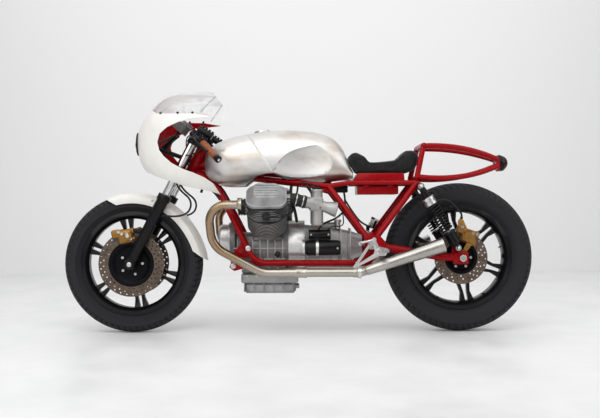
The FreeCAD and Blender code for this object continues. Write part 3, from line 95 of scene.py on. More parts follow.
class Graph:
    """The nodes of one material."""

    def __init__(self, name: str, colour: Colour, roughness: float, metallic: float = 0.0) -> None:
        """Starts a material with a plain shader.

        Args:
            name: the material's name.
            colour: its base colour.
            roughness: its even roughness.
            metallic: 1 for bare metal.
        """
        self.material = bpy.data.materials.new(name)
        self.material.use_nodes = True
        self.nodes = self.material.node_tree.nodes
        self.links = self.material.node_tree.links
        self.nodes.clear()
        output = self.nodes.new("ShaderNodeOutputMaterial")
        self.shader = self.nodes.new("ShaderNodeBsdfPrincipled")
        self.links.new(self.shader.outputs["BSDF"], output.inputs["Surface"])
        self.put("Base Color", (*colour, 1.0))
        self.put("Specular IOR Level", 0.3)
        self.put("Roughness", roughness)
        self.put("Metallic", metallic)

    def node(self, kind: str, inputs: dict[str | int, Socket | float | Sequence[float]]) -> bpy.types.Node:
        """Adds a node.

        Args:
            kind: its type.
            inputs: what each of its sockets gets, an even value or a link from another socket.

        Returns:
            The node.
        """
        made = self.nodes.new(kind)
        for socket, value in inputs.items():
            if isinstance(value, Socket):
                self.links.new(value, made.inputs[socket])
            else:
                made.inputs[socket].default_value = value
        return made

    def put(self, socket: str, value: float | tuple) -> None:
        """Sets an even value on the shader."""
        self.shader.inputs[socket].default_value = value

    def feed(self, source: Socket, socket: str) -> None:
        """Drives a shader socket from a node."""
        self.links.new(source, self.shader.inputs[socket])

    def place(self, scale: Point = (1, 1, 1), shift: Vector = Vector((0, 0, 0)),
              turn: Point = (0, 0, 0)) -> Socket:
        """Coordinates on the piece.

        Args:
            scale: how each axis is stretched.
            shift: the point that becomes the pattern's centre.
            turn: how the pattern is turned, in radians.

        Returns:
            The vector socket.
        """
        coords = self.node("ShaderNodeTexCoord", {})
        centre = self.node("ShaderNodeMapping", {"Location": -shift, "Vector": coords.outputs["Object"]})
        mapping = self.node("ShaderNodeMapping", {"Rotation": turn, "Scale": scale,
                                                  "Vector": centre.outputs["Vector"]})
        return mapping.outputs["Vector"]

    def noise(self, where: Socket, scale: float, detail: float = 3.0, rough: float = 0.5) -> Socket:
        """Cloudy variation.

        Args:
            where: the coordinates.
            scale: cells per metre.
            detail: how many finer layers it has.
            rough: how strong the finer layers are.

        Returns:
            A value from 0 to 1.
        """
        return self.node("ShaderNodeTexNoise", {"Scale": scale, "Detail": detail, "Roughness": rough,
                                                "Vector": where}).outputs["Fac"]

    def cells(self, where: Socket, scale: float) -> Socket:
        """Distance to the nearest cell centre, for grain and pits."""
        return self.node("ShaderNodeTexVoronoi", {"Scale": scale, "Vector": where}).outputs["Distance"]

    def axis(self, where: Socket, name: str) -> Socket:
        """One coordinate of a vector."""
        return self.node("ShaderNodeSeparateXYZ", {"Vector": where}).outputs[name]

    def spread(self, value: Socket, low: float, high: float, from_low: float = 0.3,
               from_high: float = 0.7) -> Socket:
        """Stretches a value to a new range.

        Args:
            value: the value.
            low: what from_low becomes.
            high: what from_high becomes.
            from_low: the lower end of what comes in.
            from_high: the upper end of what comes in.

        Returns:
            The new value.
        """
        return self.node("ShaderNodeMapRange", {"From Min": from_low, "From Max": from_high, "To Min": low,
                                                "To Max": high, "Value": value}).outputs["Result"]

    def combine(self, operation: str, first: Socket, second: Socket | float) -> Socket:
        """Arithmetic on two values.

        Args:
            operation: the arithmetic's name.
            first: the first value.
            second: the second value, a socket or a number.

        Returns:
            The result.
        """
        maths = self.node("ShaderNodeMath", {0: first, 1: second})
        maths.operation = operation
        return maths.outputs["Value"]

    def tint(self, factor: Socket, stops: list[tuple[float, Colour]]) -> Socket:
        """A colour ramp.

        Args:
            factor: where on the ramp.
            stops: places from 0 to 1 and their colours.

        Returns:
            The colour.
        """
        ramp = self.node("ShaderNodeValToRGB", {"Fac": factor})
        while len(ramp.color_ramp.elements) < len(stops):
            ramp.color_ramp.elements.new(1.0)
        for element, (place, colour) in zip(ramp.color_ramp.elements, stops):
            element.position = place
            element.color = (*colour, 1.0)
        return ramp.outputs["Color"]

    def emboss(self, height: Socket, depth: float, strength: float = 1.0) -> None:
        """Bumps the surface.

        Args:
            height: the pattern, from 0 to 1.
            depth: its height in metres.
            strength: how much of it shows.
        """
        bump = self.node("ShaderNodeBump", {"Distance": depth, "Strength": strength, "Height": height})
        self.feed(bump.outputs["Normal"], "Normal")


def shade(colour: Colour, factor: float) -> Colour:
    """The same colour, lighter or darker."""
    return tuple(min(1.0, c * factor) for c in colour)


@dataclass(frozen=True)
class Finish:
    """What every finish has: its material's name, the record's slot and its colour."""

    name: str
    slot: str
    colour: Colour
    roughness: float = 0.3

    def material(self) -> bpy.types.Material:
        """Builds the material."""
        raise NotImplementedError


@dataclass(frozen=True)
class Paint(Finish):
    """Sprayed paint under clear lacquer, with a faint orange peel."""

    coat: float = 1.0

    def material(self) -> bpy.types.Material:
        """Builds the material.

        Returns:
            The material.
        """
        graph = Graph(self.name, self.colour, self.roughness)
        graph.put("Coat Weight", self.coat)
        graph.put("Specular IOR Level", 0.1)
        graph.put("Coat Roughness", 0.06)
        where = graph.place()
        cloud = graph.noise(where, 9.0, 4.0)
        graph.feed(graph.tint(cloud, [(0.3, shade(self.colour, 0.93)), (0.7, shade(self.colour, 1.04))]),
                   "Base Color")
        graph.feed(graph.spread(graph.noise(where, 40.0), self.roughness - 0.04, self.roughness + 0.06),
                   "Roughness")
        graph.emboss(graph.noise(where, 420.0, 1.0), 0.00006, 0.5)
        return graph.material


@dataclass(frozen=True)
class BrushedMetal(Finish):
    """Bare metal rubbed by hand, with long scratches and cloudy patches."""

    turn: Point = (0.0, 0.0, 0.0)
    grain: Point = (5.0, 160.0, 160.0)
    stain: Colour | None = None
    wear: float = 1.0

    def material(self) -> bpy.types.Material:
        """Builds the material.

        Returns:
            The material.
        """
        graph = Graph(self.name, self.colour, self.roughness, 1.0)
        where = graph.place(scale=self.grain, turn=self.turn)
        scratches = graph.noise(where, 5.0, 6.0, 0.7)
        cloud = graph.noise(graph.place(scale=(1.0, 1.0, 2.0)), 7.0, 3.0)
        graph.feed(graph.tint(cloud, [(0.32, self.stain or shade(self.colour, 0.86)), (0.5, self.colour),
                                      (0.72, shade(self.colour, 1.08))]), "Base Color")
        rub, haze = 0.02 + 0.06 * self.wear, 0.02 + 0.04 * self.wear
        mixed = graph.combine("ADD", graph.spread(scratches, -rub, rub), graph.spread(cloud, -haze, haze))
        graph.feed(graph.combine("ADD", mixed, self.roughness), "Roughness")
        if self.wear:
            graph.emboss(scratches, 0.00003, 0.6)
        return graph.material


@dataclass(frozen=True)
class CastMetal(Finish):
    """Blasted cast metal with fine grain and oil-darkened patches."""

    metallic: float = 0.85
    grain: float = 1400.0

    def material(self) -> bpy.types.Material:
        """Builds the material.

        Returns:
            The material.
        """
        graph = Graph(self.name, self.colour, self.roughness, self.metallic)
        where = graph.place()
        stain = graph.noise(where, 16.0, 6.0, 0.6)
        graph.feed(graph.tint(stain, [(0.28, shade(self.colour, 0.62)), (0.5, self.colour),
                                      (0.72, shade(self.colour, 1.1))]), "Base Color")
        graph.feed(graph.spread(stain, self.roughness + 0.1, self.roughness - 0.06), "Roughness")
        graph.emboss(graph.noise(where, self.grain, 3.0, 0.7), 0.00025, 0.7)
        return graph.material


@dataclass(frozen=True)
class HeatedSteel(Finish):
    """Stainless pipe that heat has coloured, straw at the port and paler to the rear."""

    hot: Colour = (0.34, 0.24, 0.155)
    front: float = 0.74
    rear: float = 0.2

    def material(self) -> bpy.types.Material:
        """Builds the material.

        Returns:
            The material.
        """
        graph = Graph(self.name, self.colour, self.roughness, 1.0)
        along = graph.axis(graph.place(), "X")
        share = graph.spread(along, 0.0, 1.0, self.rear, self.front)
        wander = graph.combine("ADD", share, graph.spread(graph.noise(graph.place(), 18.0), -0.12, 0.12))
        graph.feed(graph.tint(wander, [(0.0, self.colour), (0.55, self.colour), (0.9, self.hot)]),
                   "Base Color")
        brush = graph.noise(graph.place(scale=(3, 120, 120)), 6.0, 5.0, 0.65)
        graph.feed(graph.spread(brush, 0.2, 0.36), "Roughness")
        graph.emboss(brush, 0.00002, 0.5)
        return graph.material


@dataclass(frozen=True)
class TurnedDisc(Finish):
    """Brake disc iron with fine rings from the pads, and a black carrier inside the band."""

    axle: Point = REAR_AXLE
    band: float = 0.0755

    def material(self) -> bpy.types.Material:
        """Builds the material.

        Returns:
            The material.
        """
        graph = Graph(self.name, self.colour, 0.38, 0.8)
        where = graph.place(shift=at(*self.axle), scale=(1, 0, 1))
        length = graph.node("ShaderNodeVectorMath", {0: where})
        length.operation = "LENGTH"
        radius = length.outputs["Value"]
        rings = graph.node("ShaderNodeTexNoise", {"Scale": 900.0, "Detail": 2.0})
        rings.noise_dimensions = "1D"
        graph.links.new(radius, rings.inputs["W"])
        rust = graph.noise(graph.place(), 30.0, 5.0, 0.6)
        tone = graph.combine("ADD", graph.spread(rings.outputs["Fac"], -0.12, 0.12), rust)
        swept = graph.spread(radius, 0.0, 1.0, self.band - 0.0005, self.band + 0.0005)
        tone = graph.combine("MULTIPLY", graph.combine("MAXIMUM", tone, 0.22), swept)
        graph.feed(graph.tint(tone, [(0.1, (0.005, 0.005, 0.006)), (0.2, shade(self.colour, 0.6)),
                                     (0.5, self.colour), (0.75, shade(self.colour, 1.35))]), "Base Color")
        graph.feed(graph.spread(rings.outputs["Fac"], 0.3, 0.5), "Roughness")
        graph.emboss(rings.outputs["Fac"], 0.00004, 0.6)
        return graph.material


@dataclass(frozen=True)
class Rubber(Finish):
    """Matt black rubber with dust in its surface."""

    def material(self) -> bpy.types.Material:
        """Builds the material.

        Returns:
            The material.
        """
        graph = Graph(self.name, self.colour, self.roughness)
        where = graph.place()
        dust = graph.noise(where, 25.0, 6.0, 0.65)
        graph.feed(graph.tint(dust, [(0.35, self.colour), (0.75, shade(self.colour, 1.9))]), "Base Color")
        graph.feed(graph.spread(dust, self.roughness - 0.1, self.roughness + 0.12), "Roughness")
        graph.emboss(graph.noise(where, 1900.0, 2.0), 0.00012, 0.5)
        return graph.material


@dataclass(frozen=True)
class Hide(Finish):
    """Leather or suede: cells for grain and a soft sheen."""

    cell: float = 700.0
    sheen: float = 0.15

    def material(self) -> bpy.types.Material:
        """Builds the material.

        Returns:
            The material.
        """
        graph = Graph(self.name, self.colour, self.roughness)
        graph.put("Sheen Weight", self.sheen)
        graph.put("Sheen Roughness", 0.5)
        where = graph.place()
        wear = graph.noise(where, 45.0, 5.0, 0.6)
        graph.feed(graph.tint(wear, [(0.3, shade(self.colour, 0.7)), (0.52, self.colour),
                                     (0.8, shade(self.colour, 1.35))]), "Base Color")
        graph.feed(graph.spread(wear, self.roughness + 0.08, self.roughness - 0.1), "Roughness")
        grain = graph.combine("ADD", graph.cells(where, self.cell), graph.noise(where, self.cell * 3, 2.0))
        graph.emboss(grain, 0.0002, 0.5)
        return graph.material


@dataclass(frozen=True)
class Clear(Finish):
    """A clear or tinted moulding."""

    alpha: float = 1.0
    transmission: float = 1.0
    ripple: float = 0.15

    def material(self) -> bpy.types.Material:
        """Builds the material.

        Returns:
            The material.
        """
        graph = Graph(self.name, self.colour, self.roughness)
        graph.put("Transmission Weight", self.transmission)
        graph.put("IOR", 1.46)
        graph.put("Alpha", self.alpha)
        if self.alpha < 1:
            edge = graph.node("ShaderNodeLayerWeight", {"Blend": 0.5})
            graph.feed(graph.spread(edge.outputs["Facing"], self.alpha, 0.95, 0.55, 0.97), "Alpha")
        where = graph.place()
        graph.feed(graph.spread(graph.noise(where, 25.0, 4.0), self.roughness, self.roughness + 0.05),
                   "Roughness")
        if self.ripple:
            graph.emboss(graph.noise(where, 14.0, 1.0), 0.0003, self.ripple)
        return graph.material


RED_PAINT = Paint("frame_red_paint", "frame_red", (0.27, 0.0004, 0.003), 0.26, 0.12)
WHITE_PAINT = Paint("body_white_paint", "body_white", (0.74, 0.73, 0.69), 0.32, 0.7)
BLACK_PAINT = Paint("black_satin_paint", "black_metal", (0.004, 0.004, 0.005), 0.34, 0.2)
LAMP_PAINT = replace(BLACK_PAINT, slot="lamp_black")
WHEEL_PAINT = Paint("black_wheel_paint", "wheel_black", (0.005, 0.005, 0.006), 0.32, 0.3)
TANK_METAL = BrushedMetal("tank_brushed_metal", "brushed_tank", (0.66, 0.65, 0.63), 0.44,
                          stain=(0.56, 0.5, 0.44))
STEEL = BrushedMetal("plain_steel", "steel", (0.62, 0.61, 0.6), 0.3, grain=(40, 40, 40))
CHROME = BrushedMetal("hard_chrome", "chrome", (0.7, 0.7, 0.71), 0.16, grain=(20, 20, 20), wear=0.0)
CAST = CastMetal("cast_engine_metal", "cast_metal", (0.4, 0.395, 0.39), 0.5)
CASE_CAST = CastMetal("crankcase_metal", "cast_metal", (0.2, 0.198, 0.196), 0.55)
# Darker metal for the faces between the cylinder fins: painted shade in the gaps, not a colour of the
# casting.
FIN_GAP_SHADE_CAST = CastMetal("fin_gap_painted_shade_metal", "cast_metal", (0.10, 0.10, 0.102), 0.6)
COVER_CAST = CastMetal("rocker_cover_metal", "cast_metal", (0.36, 0.36, 0.36), 0.52)
POLISHED_CAST = CastMetal("polished_cover_metal", "cast_metal", (0.56, 0.555, 0.545), 0.36, 0.95, 500.0)
PIPE_STEEL = HeatedSteel("header_steel", "exhaust_steel", (0.44, 0.41, 0.36), 0.27)
SILENCER_STEEL = BrushedMetal("silencer_steel", "exhaust_steel", (0.45, 0.43, 0.40), 0.3,
                              (0.0, -0.32, 0.0), (4, 120, 120))
GOLD = CastMetal("gold_anodised_caliper", "caliper_gold", (0.30, 0.155, 0.042), 0.36, 0.85, 900.0)
DISC_FRONT = TurnedDisc("front_disc_iron", "disc_metal", (0.12, 0.09, 0.071), axle=FRONT_AXLE, band=0.1045)
DISC_REAR = TurnedDisc("rear_disc_iron", "disc_metal", (0.15, 0.11, 0.085))
TYRE_RUBBER = Rubber("tyre_rubber", "tyre", (0.010, 0.010, 0.0115), 0.7)
TRIM_RUBBER = Rubber("trim_rubber", "rubber_trim", (0.008, 0.008, 0.008), 0.55)
TAN_LEATHER = Hide("tan_grip_leather", "grip_tan", (0.25, 0.066, 0.02), 0.5, 500.0, 0.05)
SEAT_SUEDE = Hide("black_seat_suede", "seat_cover", (0.008, 0.008, 0.009), 0.85, 1600.0, 0.12)
SCREEN = Clear("clear_screen", "screen_clear", (0.97, 0.98, 0.98), 0.1, 0.35, ripple=0.0)
LENS = Clear("clear_lens", "screen_clear", (0.96, 0.97, 0.97), 0.02)
RED_LENS = Clear("dark_red_lens", "lamp_red", (0.035, 0.001, 0.002), 0.08, 1.0, 0.3)
_materials: dict[str, bpy.types.Material] = {}


def material_of(finish: Finish) -> bpy.types.Material:
    """The material of a finish, built once.

    Args:
        finish: the finish.

    Returns:
        The material.
    """
    if finish.name not in _materials:
        _materials[finish.name] = finish.material()
    return _materials[finish.name]


def select_only(*pieces: Piece) -> None:
    """Selects these objects and nothing else, the first one active.

    Args:
        pieces: the objects.
    """
    bpy.ops.object.select_all(action="DESELECT")
    for piece in pieces:
        piece.select_set(True)
    bpy.context.view_layer.objects.active = pieces[0]


def settle(piece: Piece) -> Piece:
    """Moves a piece's place into its mesh, so that its object is at the origin.

    Args:
        piece: the piece.

    Returns:
        The piece.
    """
    select_only(piece)
    bpy.ops.object.transform_apply(location=True, rotation=True, scale=True)
    return piece


def dress(piece: Piece, finish: Finish, body: Body = Body.CHASSIS,
          replaces: tuple[str, ...] = ()) -> Piece:
    """Gives a finished piece its material and body.

    Args:
        piece: the piece.
        finish: its finish.
        body: what it moves with.
        replaces: the CAD nodes it is shown in place of.

    Returns:
        The piece.
    """
    piece.data.materials.clear()
    piece.data.materials.append(material_of(finish))
    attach(piece, body.value)
    if replaces:
        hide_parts(*replaces)
    return piece


def edit(piece: Piece, mode: str = "FACE") -> None:
    """Opens one piece in edit mode, with nothing else selected.

    Args:
        piece: the piece.
        mode: VERT, EDGE or FACE, what is picked.
    """
    select_only(piece)
    bpy.ops.object.mode_set(mode="EDIT")
    bpy.ops.mesh.select_mode(type=mode)


def close(piece: Piece, smooth: float = 38.0) -> Piece:
    """Merges a piece's seams, turns its faces outwards and leaves edit mode.

    Args:
        piece: the piece, in edit mode.
        smooth: the sharpest angle in degrees that is shaded smooth.

    Returns:
        The piece.
    """
    bpy.ops.mesh.select_all(action="SELECT")
    bpy.ops.mesh.remove_doubles(threshold=SEAM_MERGE)
    bpy.ops.mesh.normals_make_consistent(inside=False)
    bpy.ops.object.mode_set(mode="OBJECT")
    bpy.ops.object.shade_smooth_by_angle(angle=math.radians(smooth))
    return piece


def finished(node: str) -> Piece:
    """The clean copy that was made of a CAD node."""
    return bpy.data.objects[f"{node}_finished"]


def merged_copy(node: str, name: str) -> Piece:
    """Copies a CAD node and merges the copy's corners.

    Args:
        node: the CAD node.
        name: the copy's name.

    Returns:
        The copy, in edit mode with all of it selected.
    """
    piece = bpy.data.objects.new(name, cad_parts[node].data.copy())
    bpy.context.scene.collection.objects.link(piece)
    edit(piece)
    bpy.ops.mesh.select_all(action="SELECT")
    bpy.ops.mesh.remove_doubles(threshold=CAD_MERGE)
    return piece


def apply_modifier(piece: Piece, kind: str, **settings: float | str | bool) -> None:
    """Adds one modifier to a piece and applies it.

    Args:
        piece: the piece, in object mode.
        kind: the modifier's type.
        settings: its settings by name.
    """
    select_only(piece)
    modifier = piece.modifiers.new(kind.lower(), kind)
    for name, value in settings.items():
        setattr(modifier, name, value)
    bpy.ops.object.modifier_apply(modifier=modifier.name)


def lay(piece: Piece, spot: Vector, direction: Vector) -> None:
    """Stands a piece that was modelled along Z on a spot, pointing a given way."""
    piece.matrix_world = Matrix.Translation(spot) @ direction.to_track_quat("Z", "Y").to_matrix().to_4x4()


def turned(name: str, start: Point, direction: Point, profile: Profile, sides: int = 32) -> Piece:
    """A piece as if turned on a lathe: a disc that is drawn out and widened, ring by ring.

    Args:
        name: the piece's name.
        start: where its line starts, in millimetres.
        direction: the way the line runs.
        profile: distances along the line and radii, in millimetres.
        sides: how many sides the rings have; six makes a hexagon.

    Returns:
        The piece.
    """
    bpy.ops.object.select_all(action="DESELECT")
    along, radius = profile[0][0], max(profile[0][1], CENTRE_RADIUS)
    bpy.ops.mesh.primitive_circle_add(vertices=sides, radius=radius / 1000, fill_type="NGON",
                                      location=(0, 0, along / 1000))
    piece = bpy.context.object
    piece.name = name
    settle(piece)
    edit(piece)
    bpy.ops.mesh.select_all(action="SELECT")
    for reach, wide in profile[1:]:
        wide = max(wide, CENTRE_RADIUS)
        bpy.ops.mesh.extrude_region_move(TRANSFORM_OT_translate={"value": (0, 0, (reach - along) / 1000)})
        grow = wide / radius
        bpy.ops.transform.resize(value=(grow, grow, 1), center_override=(0, 0, reach / 1000))
        along, radius = reach, wide
    close(piece)
    lay(piece, at(*start), Vector(direction))
    return settle(piece)


def joined(name: str, pieces: list[Piece]) -> Piece:
    """Joins finished pieces of one finish into one.

    Args:
        name: the joined piece's name.
        pieces: the pieces.

    Returns:
        The joined piece.
    """
    select_only(*pieces)
    if len(pieces) > 1:
        bpy.ops.object.join()
    pieces[0].name = name
    return pieces[0]


def copies(name: str, template: Piece,
           places: list[tuple[Vector, Vector]]) -> Piece:
    """Copies a small piece to many places and joins the copies.

    Args:
        name: the name of the joined piece.
        template: the piece, standing on the seat point along Z; it is used up.
        places: spots in metres and the way each copy points.

    Returns:
        The joined piece.
    """
    made = []
    for spot, direction in places:
        twin = template.copy()
        twin.data = template.data.copy()
        bpy.context.scene.collection.objects.link(twin)
        lay(twin, spot, direction)
        made.append(twin)
    bpy.data.objects.remove(template)
    bpy.context.view_layer.update()
    return settle(joined(name, made))


def cable(name: str, points: Line, radius: float) -> Piece:
    """A round cable along a smooth line.

    Args:
        name: the piece's name.
        points: the line's control points, in millimetres.
        radius: the cable's radius in millimetres.

    Returns:
        The piece, as a mesh.
    """
    line = bpy.data.curves.new(name, "CURVE")
    line.dimensions = "3D"
    spline = line.splines.new("NURBS")
    spline.points.add(len(points) - 1)
    for knot, spot in zip(spline.points, points):
        knot.co = (*at(*spot), 1.0)
    spline.order_u = 3
    spline.use_endpoint_u = True
    line.resolution_u = 10
    line.bevel_depth = radius / 1000
    line.bevel_resolution = 3
    line.use_fill_caps = True
    piece = bpy.data.objects.new(name, line)
    bpy.context.scene.collection.objects.link(piece)
    select_only(piece)
    bpy.ops.object.convert(target="MESH")
    piece = bpy.context.object
    edit(piece)
    return close(piece, 50.0)


def pick_faces(piece: Piece, chosen: Callable[[Face], bool]) -> None:
    """Opens a piece in edit mode with just the chosen faces selected.

    Args:
        piece: the piece.
        chosen: says which faces are selected.
    """
    edit(piece)
    bpy.ops.mesh.select_all(action="DESELECT")
    bpy.ops.object.mode_set(mode="OBJECT")
    for face in piece.data.polygons:
        face.select = chosen(face)
    bpy.ops.object.mode_set(mode="EDIT")


def surface_spot(piece: Piece, x: float, z: float, side: int) -> tuple[Vector, Vector] | None:
    """Where a piece's skin is met from one side.

    Args:
        piece: the piece.
        x: millimetres forward of the rear axle.
        z: millimetres above the part's zero level.
        side: 1 from the left, -1 from the right.

    Returns:
        The spot and the skin's normal, or None past the piece.
    """
    bpy.context.view_layer.update()
    met, spot, normal, _ = piece.ray_cast(at(x, side * FAR_OUT, z), Vector((0, -side, 0)))
    return (spot, normal) if met else None


def along_from(start: Point, end: Point) -> Callable[[Vector], float]:
    """Measures how far a place lies from one point towards another, on its own side.

    Args:
        start: the first point, on the left side.
        end: the point that is looked towards.

    Returns:
        A function from a place to its distance in millimetres.
    """
    line = (Vector(end) - Vector(start)).normalized()
    return lambda place: (Vector((place.x, abs(place.y), place.z)) - Vector(start)).dot(line)


class Maker:
    """Something that builds and dresses pieces."""

    def build(self) -> list[Piece]:
        """Builds its pieces and returns them."""
        raise NotImplementedError


class SubAssembly(Maker):
    """A part of the motorcycle, built piece by piece, with hosts before what is set on them."""

    def makers(self) -> list[Maker]:
        """What builds its pieces, in order."""
        raise NotImplementedError

    def build(self) -> list[Piece]:
        """Builds all its pieces and returns them."""
        return [piece for maker in self.makers() for piece in maker.build()]


@dataclass
class CleanCopy(Maker):
    """A CAD node shown as a copy with merged corners, soft edges and smooth curves."""

    node: str
    finish: Finish
    body: Body = Body.CHASSIS
    bevel: float = 0.0009
    angle: float = 32.0
    flat: float = 0.6

    def build(self) -> list[Piece]:
        """Makes the copy; edges are bevelled, and a curved skin without them is shaded evenly.

        Returns:
            The pieces.
        """
        piece = merged_copy(self.node, f"{self.node}_finished")
        if self.bevel:
            bpy.ops.mesh.dissolve_limited(angle_limit=math.radians(self.flat))
        bpy.ops.object.mode_set(mode="OBJECT")
        if self.bevel:
            apply_modifier(piece, "BEVEL", width=self.bevel, segments=2, limit_method="ANGLE",
                           angle_limit=math.radians(self.angle))
        bpy.ops.object.shade_smooth_by_angle(angle=math.radians(self.angle))
        if not self.bevel:
            apply_modifier(piece, "WEIGHTED_NORMAL", mode="FACE_AREA", weight=50, keep_sharp=True)
        return [dress(piece, self.finish, self.body, (self.node,))]


def clean_copies(nodes: tuple[str, ...], finish: Finish, body: Body = Body.CHASSIS) -> list[CleanCopy]:
    """Clean copies of several CAD nodes that share a finish.

    Args:
        nodes: the CAD nodes.
        finish: their finish.
        body: what they move with.

    Returns:
        What builds them.
    """
    return [CleanCopy(node, finish, body) for node in nodes]


@dataclass
class TwoTone(Maker):
    """A CAD node's clean copy in which some faces get a finish of their own."""

    copy: CleanCopy
    name: str
    finish: Finish
    chosen: Callable[[Vector, Vector], bool]
    cut: tuple[Point, Point] | None = None

    def build(self) -> list[Piece]:
        """Builds the copy and parts the chosen faces from it.

        Returns:
            The pieces.
        """
        (piece,) = self.copy.build()
        if self.cut:
            edit(piece)
            bpy.ops.mesh.select_all(action="SELECT")
            bpy.ops.mesh.bisect(plane_co=at(*self.cut[0]), plane_no=self.cut[1])
            bpy.ops.object.mode_set(mode="OBJECT")
        pick_faces(piece, self.wanted)
        bpy.ops.mesh.separate(type="SELECTED")
        bpy.ops.object.mode_set(mode="OBJECT")
        part = next(o for o in bpy.context.selected_objects if o is not piece)
        part.name = self.name
        return [piece, dress(part, self.finish, self.copy.body, (self.copy.node,))]

    def wanted(self, face: Face) -> bool:
        """Whether a face goes, by its place in millimetres and its normal."""
        return self.chosen((face.center + SEAT_POINT) * 1000, face.normal)


@dataclass
class Screws(Maker):
    """One row of screw heads, each set on the skin of a finished piece."""

    name: str
    host: str
    head: Head
    radius: float
    spots: Spots
    finish: Finish = STEEL
    body: Body = Body.CHASSIS
    sides: tuple[int, ...] = SIDES
    outward: bool = True

    def template(self) -> Piece:
        """One head, standing on the seat point along Z, with a washer under a hexagon.

        Returns:
            The head.
        """
        r = self.radius
        profile, sides = {
            Head.HEX: ([(-2, 0), (-2, r), (0.6 * r, r), (0.75 * r, 0.86 * r), (0.75 * r, 0)], 6),
            Head.DOME: ([(-2, 0), (-2, r), (0.15 * r, r), (0.4 * r, 0.88 * r), (0.6 * r, 0.6 * r),
                         (0.7 * r, 0)], 20),
            Head.SOCKET: ([(-2, 0), (-2, r), (0.8 * r, r), (0.95 * r, 0.88 * r), (0.95 * r, 0.5 * r),
                           (0.35 * r, 0.46 * r), (0.35 * r, 0)], 18),
        }[self.head]
        head = turned(f"{self.name}_head", SEAT, UP, profile, sides)
        if self.head is not Head.HEX:
            return head
        rim = [(-1, 0), (-1, 1.4 * r), (1.2, 1.4 * r), (1.6, 1.3 * r), (1.6, 0)]
        return joined(head.name, [head, turned("washer", SEAT, UP, rim, 24)])

    def build(self) -> list[Piece]:
        """Sets the heads on the host's skin and dresses them.

        Returns:
            The pieces.
        """
        places = []
        for side in self.sides:
            for x, z in self.spots:
                met = surface_spot(finished(self.host), x, z, side)
                if met is None:
                    LOG.info("%s: no skin at %s, %s", self.name, x, z)
                    continue
                places.append((met[0], Vector((0, side, 0)) if self.outward else met[1]))
        return [dress(copies(self.name, self.template(), places), self.finish, self.body)]


@dataclass
class Turning(Maker):
    """A turned trim piece, made the same for each side."""

    name: str
    start: Point
    direction: Point
    profile: Profile
    finish: Finish = STEEL
    body: Body = Body.CHASSIS
    sides: tuple[int, ...] = SIDES
    count: int = 36

    def build(self) -> list[Piece]:
        """Turns it once for each side and joins the two.

        Returns:
            The pieces.
        """
        x, y, z = self.start
        a, b, c = self.direction
        made = [turned(f"{self.name}_{side}", (x, side * y, z), (a, side * b, c), self.profile, self.count)
                for side in self.sides]
        return [dress(joined(self.name, made), self.finish, self.body)]


@dataclass
class Cable(Maker):
    """A held cable, hose or rod, made the same for each side that has it."""

    name: str
    points: Line
    radius: float
    body: Body = Body.CHASSIS
    sides: tuple[int, ...] = LEFT
    finish: Finish = TRIM_RUBBER
    replaces: tuple[str, ...] = ()

    def build(self) -> list[Piece]:
        """Lays the cable and dresses it.

        Returns:
            The pieces.
        """
        made = [cable(f"{self.name}_{side}", [(x, side * y, z) for x, y, z in self.points], self.radius)
                for side in self.sides]
        return [dress(joined(self.name, made), self.finish, self.body, self.replaces)]


@dataclass
class Beads(Maker):
    """Raised beads that follow a finished piece's skin, such as the ribs of a casting."""

    name: str
    host: str
    lines: tuple[tuple[float, float, float, float], ...]
    radius: float
    finish: Finish
    steps: int = 8

    def build(self) -> list[Piece]:
        """Lays each bead on the skin, on both sides, and joins them.

        Returns:
            The pieces.
        """
        host, made = finished(self.host), []
        for side in SIDES:
            for x0, z0, x1, z1 in self.lines:
                met = [surface_spot(host, x0 + (x1 - x0) * k / self.steps, z0 + (z1 - z0) * k / self.steps,
                                    side) for k in range(self.steps + 1)]
                points = [tuple((place[0] + SEAT_POINT) * 1000) for place in met if place]
                if len(points) > 2:
                    made.append(cable(f"{self.name}_{len(made)}", points, self.radius))
        return [dress(joined(self.name, made), self.finish)]


